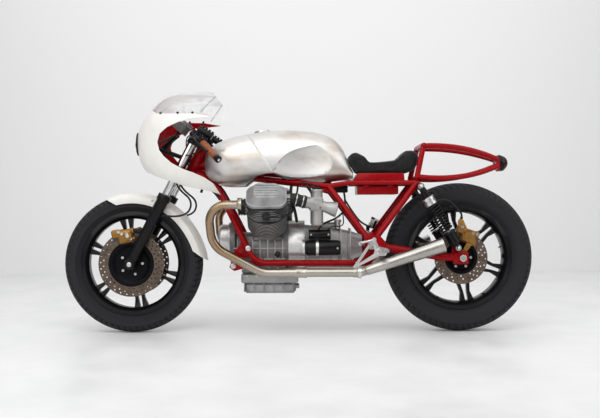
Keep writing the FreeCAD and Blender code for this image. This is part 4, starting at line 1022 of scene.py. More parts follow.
@dataclass
class TreadedTyre(Maker):
    """A tyre spun from its outline, with slanted grooves cut into its tread."""

    node: str
    body: Body
    axle: Point
    radius: float
    width: float
    slant: float
    steps: int = 330
    every: int = 5
    depth: float = 0.0032
    drop: float = 0.42

    def shoulder(self) -> float:
        """The radius at which the tread ends and the sidewall starts."""
        half = self.width / 2
        return self.radius - self.drop * half

    def outline(self) -> list[tuple[float, float]]:
        """The tyre's outline from one bead round to the other, as radii and widths.

        Returns:
            The points of the outline.
        """
        half, shoulder = self.width / 2, self.shoulder()
        curve = 1.4005 * half
        reach = math.asin(half / curve)
        wall = [(shoulder - 9, half + 1.0), (shoulder - 10.5, half + 2.0), (shoulder - 14, half + 2.0),
                (shoulder - 15.5, half + 1.2), (0.5 * (shoulder + 228) - 2, half + 1.6),
                (256, half * 0.9), (246, 0.68 * half), (240, 0.62 * half), (228.4, 0.62 * half)]
        shares = (0.045, 0.1, 0.24, 0.4, 0.56, 0.72, 0.88, 1)
        crown = []
        for share in [-s for s in reversed(shares)] + list(shares):
            angle = reach * share
            crown.append((self.radius - curve + curve * math.cos(angle), curve * math.sin(angle)))
        return [(r, -y) for r, y in reversed(wall)] + crown + wall

    def turn(self, y: float) -> float:
        """How far the outline is swept round at a width, which slants the grooves."""
        return self.slant * min(1.0, abs(y) / (self.width / 2)) / self.radius

    def build(self) -> list[Piece]:
        """Spins the tyre, cuts its grooves and dresses it.

        Returns:
            The pieces.
        """
        hub = at(*self.axle)
        spots = [hub + Vector((r * math.cos(self.turn(y)), y, r * math.sin(self.turn(y)))) / 1000
                 for r, y in self.outline()]
        bpy.ops.object.select_all(action="DESELECT")
        bpy.ops.mesh.primitive_circle_add(vertices=3, radius=0.001, location=(0, 0, 0))
        tyre = bpy.context.object
        tyre.name = f"{self.node}_treaded"
        edit(tyre, "VERT")
        bpy.ops.mesh.select_all(action="SELECT")
        bpy.ops.mesh.merge(type="CENTER")
        bpy.ops.mesh.select_all(action="SELECT")
        bpy.ops.transform.translate(value=spots[0])
        for before, after in zip(spots, spots[1:] + spots[:1]):
            bpy.ops.mesh.extrude_region_move(TRANSFORM_OT_translate={"value": after - before})
        bpy.ops.mesh.select_all(action="SELECT")
        bpy.ops.mesh.remove_doubles(threshold=SEAM_MERGE)
        bpy.ops.mesh.select_all(action="SELECT")
        bpy.ops.mesh.spin(steps=self.steps, angle=2 * math.pi, center=hub, axis=(0, 1, 0))
        close(tyre, 34.0)
        pick_faces(tyre, self.grooved)
        bpy.ops.mesh.inset(thickness=0.0004, depth=-self.depth)
        bpy.ops.object.mode_set(mode="OBJECT")
        return [dress(tyre, TYRE_RUBBER, self.body, (self.node,))]

    def grooved(self, face: Face) -> bool:
        """Whether a face lies at the bottom of a groove.

        Args:
            face: the face.

        Returns:
            True at the bottom of a groove.
        """
        offset = (face.center - at(*self.axle)) * 1000
        half = self.width / 2
        if math.hypot(offset.x, offset.z) < self.shoulder() - 8:
            return False
        if abs(offset.y) < 0.06 * half:
            return True
        step = 2 * math.pi / self.steps
        place = round((math.atan2(offset.z, offset.x) - self.turn(offset.y)) / step - 0.5) % self.steps
        shift = 0 if offset.y > 0 else 2
        return abs(offset.y) > 0.14 * half and (place + shift) % self.every == 0


@dataclass
class DamperPair(Maker):
    """The rear dampers: wound springs between collars, on black bodies with domed nuts."""

    top: Point = (193.0, 150.0, 659.0)
    foot: Point = (27.0, 150.0, 384.0)
    length: float = 321.3
    eye: float = 128.0
    nut: float = 160.0
    coil: float = 25.2
    wire: float = 4.2
    pitch: float = 13.4
    turns: int = 10

    def build(self) -> list[Piece]:
        """Builds both dampers in the place of the CAD ones.

        Returns:
            The pieces.
        """
        dark, bright, springs = [], [], []
        can = self.length - 26
        for side in SIDES:
            top = Vector((self.top[0], side * self.top[1], self.top[2]))
            down = (Vector((self.foot[0], side * self.foot[1], self.foot[2])) - top).normalized()
            dark.append(turned("damper_rod", top, down, [
                (8, 0), (8, 13), (14, 15), (34, 16), (36, 21), (60, 21), (60, 9), (226, 9), (226, 0)]))
            bright.append(turned("damper_collar", top, down, [
                (58, 0), (58, 26), (60, 28), (72, 28), (74, 25), (78, 25), (80, 27.5), (94, 27.5),
                (96, 25.5), (96, 0)], 40))
            dark.append(turned("damper_can", top, down, [
                (236, 0), (236, 27), (240, 29.6), (246, 29.6), (248, 27), (can, 27), (can + 8, 17),
                (can + 18, 12), (can + 18, 0)], 40))
            springs.append(self.spring(top + down * 97, down))
            for point in (top, top + down * self.length):
                out = (0, side, 0)
                dark.append(turned("damper_eye", (point.x, side * self.eye, point.z), out, [
                    (0, 0), (0, 14), (2, 15.5), (30, 15.5), (32, 14), (32, 0)]))
                bright.append(turned("damper_nut", (point.x, side * self.nut, point.z), out, [
                    (0, 0), (0, 13), (2, 13), (2, 10), (9, 10), (12, 9), (16, 6.5), (18, 3), (18.6, 0)], 24))
        return [dress(joined(name, made), finish, replaces=("rear_dampers",))
                for name, made, finish in (("damper_bodies", dark, BLACK_PAINT),
                                           ("damper_collars", bright, STEEL),
                                           ("damper_springs", springs, BLACK_PAINT))]

    def spring(self, start: Vector, down: Vector) -> Piece:
        """One wound spring.

        Args:
            start: its upper end, in millimetres.
            down: the way it runs.

        Returns:
            The spring.
        """
        bpy.ops.object.select_all(action="DESELECT")
        bpy.ops.mesh.primitive_circle_add(vertices=10, radius=self.wire / 1000,
                                          rotation=(math.radians(90), 0, 0),
                                          location=(self.coil / 1000, 0, 0))
        coil = settle(bpy.context.object)
        apply_modifier(coil, "SCREW", axis="Z", iterations=self.turns, screw_offset=self.pitch / 1000,
                       steps=28, render_steps=28)
        edit(coil, "EDGE")
        bpy.ops.mesh.select_all(action="DESELECT")
        bpy.ops.mesh.select_non_manifold()
        bpy.ops.mesh.edge_face_add()
        close(coil, 60.0)
        lay(coil, at(*start), down)
        return settle(coil)


@dataclass
class SeatPad(Maker):
    """The suede pad: a copy of the CAD pad, blown up a little as cloth."""

    swell: float = 0.006
    inset: float = 0.0035
    voxel: float = 0.005
    pressure: float = 4.0
    moments: int = 20
    floor: float = 722.8

    def build(self) -> list[Piece]:
        """Shrinks, remeshes and inflates a copy of the CAD pad.

        Returns:
            The pieces.
        """
        pad = merged_copy("seat_pad", "seat_pad_suede")
        bpy.ops.transform.shrink_fatten(value=-self.inset)
        bpy.ops.object.mode_set(mode="OBJECT")
        pad.data.remesh_voxel_size = self.voxel
        bpy.ops.object.voxel_remesh()
        self.inflate(pad)
        apply_modifier(pad, "SUBSURF", levels=1, render_levels=1)
        bpy.ops.object.shade_smooth_by_angle(angle=math.radians(60))
        dress(pad, SEAT_SUEDE, replaces=("seat_pad",))
        return [pad]

    def inflate(self, pad: Piece) -> None:
        """Runs the cloth and keeps each point near where it was and off the tray.

        Args:
            pad: the pad.
        """
        before = [v.co.copy() for v in pad.data.vertices]
        cloth = pad.modifiers.new("stuffing", "CLOTH")
        cloth.settings.use_pressure = True
        cloth.settings.uniform_pressure_force = self.pressure
        cloth.settings.effector_weights.gravity = 0.0
        cloth.settings.quality = 5
        scene = bpy.context.scene
        for moment in range(1, self.moments + 1):
            scene.frame_set(moment)
        select_only(pad)
        bpy.ops.object.modifier_apply(modifier=cloth.name)
        scene.frame_set(1)
        low = at(0, 0, self.floor).z
        for vertex, old in zip(pad.data.vertices, before):
            move = vertex.co - old
            if move.length > self.swell:
                move *= self.swell / move.length
            vertex.co = old + move
            vertex.co.z = max(vertex.co.z, low)


@dataclass
class Gauge(Maker):
    """The rev counter: a bezel, a dark dial with plain marks and a needle."""

    foot: Point = (1296.0, 0.0, 925.0)
    up: Point = (-0.62, 0.0, 0.785)
    height: float = 52.0
    radius: float = 34.0
    marks: int = 11
    first_mark: float = -45.0
    mark_step: float = 27.0
    reading: float = 0.6

    def build(self) -> list[Piece]:
        """Builds the bezel, dial, marks and needle.

        Returns:
            The pieces.
        """
        top = self.height
        bezel = turned("gauge_bezel", self.foot, self.up, [
            (top - 7, 36), (top - 7, 40.6), (top + 1, 40.6), (top + 2.6, 39), (top + 2.6, 36),
            (top + 0.6, 34.6)], 48)
        dial = turned("gauge_dial", self.foot, self.up, [
            (top - 1, 0), (top - 1, 35), (top + 0.5, 35), (top + 0.5, 0)], 40)
        turn = Vector(self.up).to_track_quat("Z", "Y")
        hub = at(*self.foot) + Vector(self.up).normalized() * (top + 0.7) / 1000
        marks = []
        for step in range(self.marks):
            angle = math.radians(self.first_mark + self.mark_step * step)
            arm = turn @ Vector((math.cos(angle), math.sin(angle), 0))
            marks.append(self.bar("gauge_mark", hub + arm * (self.radius - 5) / 1000, arm, 6.5, 1.2))
        arm = turn @ Vector((math.cos(self.reading), math.sin(self.reading), 0))
        needle = self.bar("gauge_needle", hub + arm * 0.011 + Vector(self.up) * 0.0004, arm, 30, 1.3)
        return [dress(bezel, CHROME), dress(dial, TRIM_RUBBER),
                dress(joined("gauge_marks", marks), WHITE_PAINT), dress(needle, RED_PAINT)]

    def bar(self, name: str, spot: Vector, arm: Vector, length: float, width: float) -> Piece:
        """A flat bar on the dial.

        Args:
            name: its name.
            spot: its middle, in metres.
            arm: the way it runs.
            length: its length in millimetres.
            width: its width in millimetres.

        Returns:
            The bar.
        """
        bpy.ops.object.select_all(action="DESELECT")
        bpy.ops.mesh.primitive_cube_add(size=0.001)
        mark = bpy.context.object
        mark.name = name
        up = Vector(self.up).normalized()
        axes = Matrix((arm, up.cross(arm), up)).transposed().to_4x4()
        mark.matrix_world = Matrix.Translation(spot) @ axes @ Matrix.Diagonal((length, width, 0.5, 1))
        return settle(mark)


def ring(length: float, inner: float, outer: float) -> Profile:
    """The outline of a plain ring.

    Args:
        length: its length in millimetres.
        inner: its inner radius.
        outer: its outer radius.

    Returns:
        The outline.
    """
    return (0, inner), (0, outer), (length, outer), (length, inner)


@dataclass
class Wheel(SubAssembly):
    """A wheel with its tyre, brake discs, disc bolts and valve."""

    end: str
    body: Body
    axle: Point
    radius: float
    width: float
    slant: float
    discs: str
    iron: TurnedDisc
    bolts: int
    bolt_circle: float
    bolt_step: float
    bolt_start: float
    sides: tuple[int, ...]
    valve: Point
    valve_line: Point

    def makers(self) -> list[Maker]:
        """What builds its pieces, in order.

        Returns:
            The makers.
        """
        x, _, z = self.axle
        angles = [k * self.bolt_step + self.bolt_start for k in range(self.bolts)]
        spots = tuple((x + self.bolt_circle * math.cos(a), z + self.bolt_circle * math.sin(a))
                      for a in angles)
        return [
            TreadedTyre(f"{self.end}_tyre", self.body, self.axle, self.radius, self.width, self.slant),
            CleanCopy(self.discs, self.iron, self.body, bevel=0.0),
            CleanCopy(f"{self.end}_wheel", WHEEL_PAINT, self.body, bevel=0.0018),
            Screws(f"{self.end}_disc_bolts", self.discs, Head.SOCKET, 6.5, spots, body=self.body,
                   sides=self.sides),
            Turning(f"{self.end}_valve", self.valve, self.valve_line,
                    ((0, 0), (0, 4.5), (16, 4.2), (17, 3.2), (30, 3.2), (30, 0)), TRIM_RUBBER, self.body,
                    LEFT, 14),
        ]


@dataclass
class SeatUnit(SubAssembly):
    """The seat pad on its welded tray, with the battery and ignition boxes under it."""

    weld: tuple[float, float, float, float] = (262, 692, 484, 692)
    weld_radius: float = 2.2

    def makers(self) -> list[Maker]:
        """What builds its pieces, in order.

        Returns:
            The makers.
        """
        return [
            SeatPad(),
            *clean_copies(("seat_tray", "battery_box"), RED_PAINT),
            CleanCopy("ignition_box", BLACK_PAINT),
            Beads("tray_welds", "seat_tray", (self.weld,), self.weld_radius, RED_PAINT),
        ]


@dataclass
class Frame(SubAssembly):
    """The red frame with its tail lamp, swinging arm, shaft drive and dampers."""

    cradle_bolts: Spots = ((966, 385), (1034, 306))
    cradle_bolt: float = 8.5
    axle_nut: float = 11.0
    lamp_line: Line = ((-191, 0, 768), (-288.6, 0, 789.7))
    lens_start: float = 16.3
    pivot: Point = (412.0, 124.0, 396.0)
    hoop_corner: Point = (170.0, 105.5, 846.5)

    def makers(self) -> list[Maker]:
        """What builds its pieces, in order.

        Returns:
            The makers.
        """
        along_lamp = along_from(*self.lamp_line)
        return [
            *clean_copies(("main_frame", "left_cradle", "right_cradle", "tail_loop", "swingarm"), RED_PAINT),
            CleanCopy("final_drive", CAST),
            CleanCopy("rear_axle", STEEL),
            TwoTone(CleanCopy("tail_lamp", BLACK_PAINT), "tail_lens", RED_LENS,
                    lambda place, normal: along_lamp(place) > self.lens_start),
            DamperPair(),
            Screws("cradle_bolts", "left_cradle", Head.HEX, self.cradle_bolt, self.cradle_bolts, sides=LEFT),
            Screws("cradle_bolts_right", "right_cradle", Head.HEX, self.cradle_bolt, self.cradle_bolts,
                   sides=RIGHT),
            Screws("rear_axle_nut", "rear_axle", Head.HEX, self.axle_nut, ((REAR_AXLE[0], REAR_AXLE[2]),),
                   sides=LEFT),
            Turning("hoop_corners", self.hoop_corner, UP,
                    ((-12, 2), (-9, 8), (-4, 11.6), (0, 12.6), (4, 11.8), (9, 8.4), (12, 3), (12.6, 0)),
                    RED_PAINT, count=24),
            Turning("pivot_caps", self.pivot, OUT,
                    ((0, 0), (0, 19), (11, 19), (13, 17), (13, 9), (9, 8.5), (9, 0))),
        ]


@dataclass
class Engine(SubAssembly):
    """The V-twin with its gearbox, starter motor, ribs, screws, leads and hoses."""

    crank: float = 395.0
    cylinders: tuple[float, float] = (879.0, 859.0)
    barrel: tuple[float, float] = (118.0, 232.0)
    barrel_radius: float = 85.0
    head_end: float = 300.0
    head_half: tuple[float, float] = (98.0, 78.0)
    bell_start: float = 716.0
    bell_axis: float = 399.0
    bell_bore: float = 84.0
    sump_spots: Spots = tuple((752 + 45 * k, 257) for k in range(6))
    crankcase_spots: Spots = tuple((835 + 40 * k, 290) for k in range(5))
    gearbox_spots: Spots = ((480, 385), (480, 430), (700, 345), (640, 335), (580, 345))
    plug_lead: Line = ((880, 264, 530), (866, 276, 528), (818, 250, 524), (770, 190, 540), (752, 120, 600),
                       (740, 40, 676))
    starter_cable: Line = ((650, 119, 466), (640, 122, 492), (560, 118, 520), (520, 90, 570), (530, 34, 642))
    solenoid_wire: Line = ((610, 128, 466), (590, 134, 486), (548, 120, 480), (530, 84, 500), (540, 40, 560))
    breather: Line = ((764, 40, 690), (776, 96, 660), (770, 118, 600), (752, 104, 540), (748, 70, 505))

    def in_shaded_fin_gap(self, place: Vector, normal: Vector) -> bool:
        """Whether a face of a cylinder lies in a gap between its fins, by its place in millimetres; these
        faces get darker metal as painted shade.

        Args:
            place: the face's middle in millimetres.
            normal: the face's normal; not used.

        Returns:
            True in a gap.
        """
        lean = math.sqrt(0.5)
        left, right = self.cylinders
        ahead, rise = place.x - (left if place.y > 0 else right), place.z - self.crank
        along, across = lean * (abs(place.y) + rise), lean * (rise - abs(place.y))
        start, end = self.barrel
        if along < end:
            return start < along and math.hypot(ahead, across) < self.barrel_radius
        wide, tall = self.head_half
        return along < self.head_end and (ahead / wide) ** 4 + (across / tall) ** 4 < 0.74

    def on_bell(self, place: Vector, normal: Vector) -> bool:
        """Whether a face of the gearbox belongs to the bell housing's outer skin."""
        return place.x > self.bell_start and math.hypot(place.y, place.z - self.bell_axis) > self.bell_bore

    def makers(self) -> list[Maker]:
        """What builds its pieces, in order."""
        return [*self.castings(), *self.screws(), *self.fittings(), *self.lines()]

    def castings(self) -> list[Maker]:
        """What builds the castings and their ribs.

        Returns:
            The makers.
        """
        return [
            CleanCopy("crankcase", CASE_CAST),
            *clean_copies(("rocker_covers", "oil_sump"), COVER_CAST),
            CleanCopy("alternator_cover", POLISHED_CAST),
            CleanCopy("starter_motor", BLACK_PAINT),
            TwoTone(CleanCopy("gearbox", CAST), "bell_housing", POLISHED_CAST, self.on_bell),
            # The faces in the fin gaps are parted off and given the darker metal, as painted shade between
            # the fins.
            *(TwoTone(CleanCopy(f"{side}_cylinder", CAST, bevel=0.0005), f"{side}_fin_gaps", FIN_GAP_SHADE_CAST,
                      self.in_shaded_fin_gap) for side in ("left", "right")),
            Beads("crankcase_ribs", "crankcase", tuple((x, 300, x, 425) for x in range(812, 1040, 34)), 4.5,
                  CAST),
            Beads("crankcase_ledges", "crankcase", ((800, 335, 1035, 335), (800, 384, 1035, 384)), 3.5, CAST),
            Beads("gearbox_ribs", "gearbox", ((520, 330, 520, 470), (560, 320, 560, 345),
                                              (690, 320, 690, 350)), 4.0, CAST),
        ]

    def screws(self) -> list[Maker]:
        """What builds the screws and plugs on the castings.

        Returns:
            The makers.
        """
        return [
            Screws("sump_bolts", "oil_sump", Head.SOCKET, 5.0, self.sump_spots),
            Screws("crankcase_bolts", "crankcase", Head.SOCKET, 5.0, self.crankcase_spots),
            Screws("crankcase_plug", "crankcase", Head.DOME, 14.0, ((836, 358),), TRIM_RUBBER),
            Screws("head_bolts", "left_cylinder", Head.HEX, 7.0, ((914, 583), (854, 583)), sides=LEFT,
                   outward=False),
            Screws("head_bolts_right", "right_cylinder", Head.HEX, 7.0, ((894, 583), (834, 583)),
                   sides=RIGHT, outward=False),
            Screws("starter_screws", "starter_motor", Head.SOCKET, 4.5,
                   ((566, 386), (606, 446), (684, 446)), sides=LEFT),
            Screws("gearbox_screws", "gearbox", Head.SOCKET, 5.0, self.gearbox_spots, sides=LEFT,
                   outward=False),
        ]

    def fittings(self) -> list[Maker]:
        """What builds the turned fittings.

        Returns:
            The makers.
        """
        return [
            Turning("gearbox_breather", (560.0, 50.0, 470.0), UP,
                    ((0, 0), (0, 13), (28, 13), (30, 17), (40, 17), (42, 14), (42, 0)), sides=LEFT),
            Turning("plug_caps", (880.0, 240.0, 527.0), (0, 1, 0.1),
                    ((0, 0), (0, 19), (14, 19), (17, 16), (17, 12), (27, 11), (29, 9), (29, 0)), TRIM_RUBBER,
                    count=8),
            Turning("alternator_band", (1045.0, 0.0, 427.0), AHEAD, ring(9, 60, 73.6), BLACK_PAINT,
                    sides=LEFT, count=64),
            Turning("starter_ring", (650.0, 129.0, 386.0), AHEAD, ring(12, 30, 36.2), sides=LEFT,
                    count=48),
        ]

    def lines(self) -> list[Maker]:
        """What lays the leads, cables and hoses.

        Returns:
            The makers.
        """
        return [
            Cable("plug_leads", self.plug_lead, 4.0, sides=SIDES),
            Cable("starter_cable", self.starter_cable, 4.5),
            Cable("solenoid_wires", self.solenoid_wire, 2.6),
            Cable("breather_hose", self.breather, 7.0),
        ]


@dataclass
class Intake(SubAssembly):
    """The carburettors with their rubbers, clamps, cables and fuel lines."""

    stub_line: Line = ((761.7, 167, 604.3), (566, 148, 556))
    rubber_length: float = 57.0
    bowl: tuple[float, float] = (656.0, 148.0)
    cable_line: Line = ((656, 148, 646), (652, 144, 668), (700, 118, 676), (780, 66, 690))
    fuel_line: Line = ((700, 120, 668), (676, 132, 640), (668, 150, 600), (660, 150, 560))

    def makers(self) -> list[Maker]:
        """What builds its pieces, in order.

        Returns:
            The makers.
        """
        along_stub = along_from(*self.stub_line)
        return [
            TwoTone(CleanCopy("carburettors", CAST), "intake_rubbers", TRIM_RUBBER,
                    lambda place, normal: along_stub(place) < self.rubber_length),
            Turning("carburettor_caps", (*self.bowl, 645.0), UP,
                    ((0, 0), (0, 22), (9, 22), (11, 19), (11, 8), (22, 6.5), (22, 0)), BLACK_PAINT),
            Turning("bowl_nuts", (*self.bowl, 489.0), (0, 0, -1),
                    ((0, 0), (0, 12), (8, 12), (9, 10), (9, 0)), GOLD, count=6),
            Turning("idle_screws", (642.0, 164.0, 566.0), OUT,
                    ((0, 0), (0, 5), (16, 5), (17, 4), (17, 0)), GOLD, count=12),
            Turning("intake_clamps", self.stub_line[0], (-0.9666, -0.0938, -0.2386),
                    ((10, 26), (10, 28.6), (18, 28.6), (18, 26.4), (40, 26.4), (40, 28.6), (48, 28.6),
                     (48, 26))),
            Cable("carb_cables", self.cable_line, 3.2, sides=SIDES),
            Cable("fuel_lines", self.fuel_line, 4.2, sides=SIDES),
        ]


@dataclass
class Exhausts(SubAssembly):
    """The header pipes and silencers with their port nuts, joints and clamps."""

    port: Point = (978.0, 209.0, 571.0)
    joint: Point = (752.0, 170.0, 277.6)
    clamp: Point = (478.0, 170.0, 277.0)

    def makers(self) -> list[Maker]:
        """What builds its pieces, in order.

        Returns:
            The makers.
        """
        return [
            CleanCopy("exhaust_headers", PIPE_STEEL, bevel=0.0),
            CleanCopy("silencers", SILENCER_STEEL, bevel=0.0),
            Turning("port_nuts", self.port, AHEAD,
                    ((-6, 26), (-6, 37), (2, 37), (2, 32), (7, 32), (7, 37), (12, 37), (12, 32), (17, 32),
                     (17, 37), (22, 37), (25, 33), (25, 22)), BLACK_PAINT),
            Turning("header_joints", self.joint, BACK,
                    ((0, 20), (0, 23), (4, 23.6), (8, 22.4), (40, 22.4), (44, 23.6), (48, 23), (48, 20)),
                    PIPE_STEEL),
            Turning("silencer_clamps", self.clamp, BACK, ring(16, 20, 25)),
        ]


@dataclass
class Tank(SubAssembly):
    """The fuel tank and its cap."""

    crease_angle: float = 24.0

    def makers(self) -> list[Maker]:
        """What builds its pieces, in order."""
        return [CleanCopy("fuel_tank", TANK_METAL, bevel=0.0, angle=self.crease_angle),
                CleanCopy("fuel_cap", STEEL)]


@dataclass
class Fairing(SubAssembly):
    """The half fairing with its screen, headlamp and looms."""

    middle: Point = (1230.0, 0.0, 870.0)
    inward: float = -0.12
    lens_start: float = 1485.6
    screen_spots: Spots = ((1350, 990), (1271, 989), (1205, 989))
    crease: tuple[float, float, float, float] = (1168, 992, 1109, 1066)
    loom: Line = ((1300, 34, 905), (1330, 62, 890), (1360, 100, 864), (1378, 136, 853))
    head_loom: Line = ((1186, 52, 640), (1176, 66, 668), (1140, 74, 655), (1112, 78, 628), (1096, 80, 604))

    def faces_in(self, place: Vector, normal: Vector) -> bool:
        """Whether a face of the shell looks towards its middle line."""
        x, _, z = self.middle
        return normal.dot(Vector((place.x - x, place.y, place.z - z)).normalized()) < self.inward

    def makers(self) -> list[Maker]:
        """What builds its pieces, in order.

        Returns:
            The makers.
        """
        return [
            CleanCopy("windscreen", SCREEN, bevel=0.0),
            CleanCopy("fairing_stay", BLACK_PAINT),
            TwoTone(CleanCopy("fairing", WHITE_PAINT, bevel=0.0008), "fairing_inside", RED_PAINT,
                    self.faces_in),
            TwoTone(CleanCopy("headlamp", LAMP_PAINT), "headlamp_lens", LENS,
                    lambda place, normal: place.x > self.lens_start),
            Screws("screen_screws", "windscreen", Head.DOME, 5.5, self.screen_spots, BLACK_PAINT,
                   outward=False),
            # A thin black bead along the screen's bend: a painted shade line where the clear screen has no
            # dark material.
            Beads("screen_bend_painted_shade", "windscreen", (self.crease,), 1.1, BLACK_PAINT),
            Turning("lamp_reflector", (1484.0, 0.0, 866.0), AHEAD,
                    ((0, 0), (0, 46), (3.4, 46), (2.6, 30), (1.9, 12), (6.5, 11), (6.5, 0)), CHROME,
                    sides=LEFT, count=48),
            Cable("fairing_loom", self.loom, 5.0, sides=SIDES),
            Cable("head_loom", self.head_loom, 6.0),
        ]


@dataclass
class Cockpit(SubAssembly):
    """The round instrument with its gauge and cables."""

    cables: Line = ((1292, 14, 930), (1322, 20, 898), (1352, 18, 862), (1374, 10, 850))

    def makers(self) -> list[Maker]:
        """What builds its pieces, in order."""
        return [CleanCopy("instrument", CASE_CAST), Gauge(),
                Cable("gauge_cables", self.cables, 3.4, sides=SIDES)]


@dataclass
class Footrests(SubAssembly):
    """The footrests on their hangers, with the rear brake's cylinder, reservoir and rod."""

    cut_spot: Point = (407.6, 0.0, 398.9)
    cut_normal: Point = (-0.234, 0.0, 0.972)
    hanger_end: float = 404.0
    reservoir: tuple[float, float] = (487.0, 512.0)
    peg: tuple[float, float] = (377.0, 373.0)
    grooves: int = 12
    rod: Line = ((476, 152, 408), (440, 152, 415), (399, 152, 424))
    hose: Line = ((392, -74, 470), (430, -66, 486), (470, -40, 520), (520, -30, 600))

    def above_cut(self, place: Vector, normal: Vector) -> bool:
        """Whether a face lies in the red upper part of a hanger.

        Args:
            place: the face's middle in millimetres.
            normal: the face's normal; not used.

        Returns:
            True above the cut.
        """
        offset = place - Vector(self.cut_spot)
        return (place.x < self.hanger_end
                and self.cut_normal[0] * offset.x + self.cut_normal[2] * offset.z > 0.2)

    def on_reservoir(self, place: Vector, normal: Vector) -> bool:
        """Whether a face lies on the reservoir's upright wall."""
        low, high = self.reservoir
        return low < place.z < high and abs(normal.z) < 0.5

    def grooved_peg(self) -> Profile:
        """The outline of a peg's rubber with its grooves.

        Returns:
            The outline.
        """
        rings = [(6.5 * k + step, r) for k in range(self.grooves)
                 for step, r in ((0.1, 12), (4.2, 12), (4.3, 11.1), (6.4, 11.1))]
        return [(0, 10.6), *rings, (78.5, 10.6)]

    def makers(self) -> list[Maker]:
        """What builds its pieces, in order.

        Returns:
            The makers.
        """
        x, z = self.peg
        return [
            TwoTone(CleanCopy("footrests", STEEL), "hanger_tops", RED_PAINT, self.above_cut,
                    (self.cut_spot, self.cut_normal)),
            TwoTone(CleanCopy("rear_master", BLACK_PAINT), "reservoir_body", WHITE_PAINT, self.on_reservoir),
            Screws("footrest_bolts", "footrests", Head.SOCKET, 9.0, ((417, 401), (345, 373))),
            Turning("peg_ends", (x, 257.0, z), OUT,
                    ((0, 0), (0, 14), (5.5, 14), (6.5, 13), (6.5, 9), (4.5, 8.4), (4.5, 5.5), (6.5, 5.5),
                     (6.5, 0))),
            Turning("peg_rings", (x, 182.0, z), OUT, self.grooved_peg()),
            Cable("brake_rod", self.rod, 4.0, finish=STEEL),
            Cable("reservoir_hose", self.hose, 4.5),
        ]


@dataclass
class Fork(SubAssembly):
    """The fork with its yokes, axle and mudguard, which all turn with the steering."""

    body: Body = Body.STEERING
    axle_nut: float = 7.5
    mudguard_spots: Spots = ((1380, 596), (1410, 604))
    stem_top: Point = (1190.0, 0.0, 876.0)
    stem_line: Point = (-0.462, 0, 0.887)

    def makers(self) -> list[Maker]:
        """What builds its pieces, in order.

        Returns:
            The makers.
        """
        return [
            *clean_copies(("lower_yoke", "upper_yoke", "fork_sliders"), BLACK_PAINT, self.body),
            CleanCopy("stanchions", CHROME, self.body, bevel=0.0004),
            CleanCopy("front_axle", STEEL, self.body),
            CleanCopy("front_mudguard", WHITE_PAINT, self.body, bevel=0.0005),
            Screws("front_axle_nuts", "front_axle", Head.HEX, self.axle_nut,
                   ((FRONT_AXLE[0], FRONT_AXLE[2]),), body=self.body),
            Screws("mudguard_screws", "front_mudguard", Head.DOME, 6.0, self.mudguard_spots, body=self.body),
            Turning("head_nut", self.stem_top, self.stem_line,
                    ((0, 0), (0, 17), (12, 17), (14, 15), (14, 0)), STEEL, self.body, LEFT, 6),
        ]


@dataclass
class Controls(SubAssembly):
    """The clip-on bars with grips, levers, fluid reservoir, cables and wires."""

    body: Body = Body.STEERING
    grip_line: Line = ((1160, 200, 853), (1087, 312, 782))
    leather: tuple[float, float] = (6.5, 150.5)
    bar_end: Point = (1077.6, 326.5, 772.8)
    bar_way: Point = (-0.482, 0.740, -0.469)
    reservoir: Point = (1172.0, 176.0, 884.0)
    lever_cable: Line = ((1178, 178, 872), (1212, 150, 888), (1240, 104, 868), (1250, 64, 800),
                         (1243, 40, 742))
    switch_wire: Line = ((1150, 214, 846), (1176, 190, 820), (1226, 150, 800), (1262, 92, 812),
                         (1240, 50, 790))
    throttle_cable: Line = ((1184, 160, 866), (1226, 128, 902), (1252, 76, 880), (1252, 44, 822),
                            (1236, 28, 762))

    def makers(self) -> list[Maker]:
        """What builds its pieces, in order.

        Returns:
            The makers.
        """
        along_grip = along_from(*self.grip_line)
        start, end = self.leather
        return [
            *clean_copies(("clip_on_bars", "lever_perches"), BLACK_PAINT, self.body),
            TwoTone(CleanCopy("grips", TAN_LEATHER, self.body), "grip_ends", BLACK_PAINT,
                    lambda place, normal: not start < along_grip(place) < end),
            Turning("bar_end_screws", self.bar_end, self.bar_way,
                    ((3, 0), (3, 6.5), (7.6, 6.5), (8.6, 5), (8.6, 0)), STEEL, self.body),
            Turning("fluid_reservoir", self.reservoir, (-0.2, 0, 0.98),
                    ((0, 0), (0, 14), (3, 17), (24, 17), (24, 19), (33, 19), (34, 17), (34, 0)), BLACK_PAINT,
                    self.body, RIGHT),
            Cable("lever_cables", self.lever_cable, 3.2, self.body, SIDES),
            Cable("switch_wires", self.switch_wire, 3.0, self.body, SIDES),
            Cable("throttle_cables", self.throttle_cable, 2.8, self.body, SIDES),
        ]


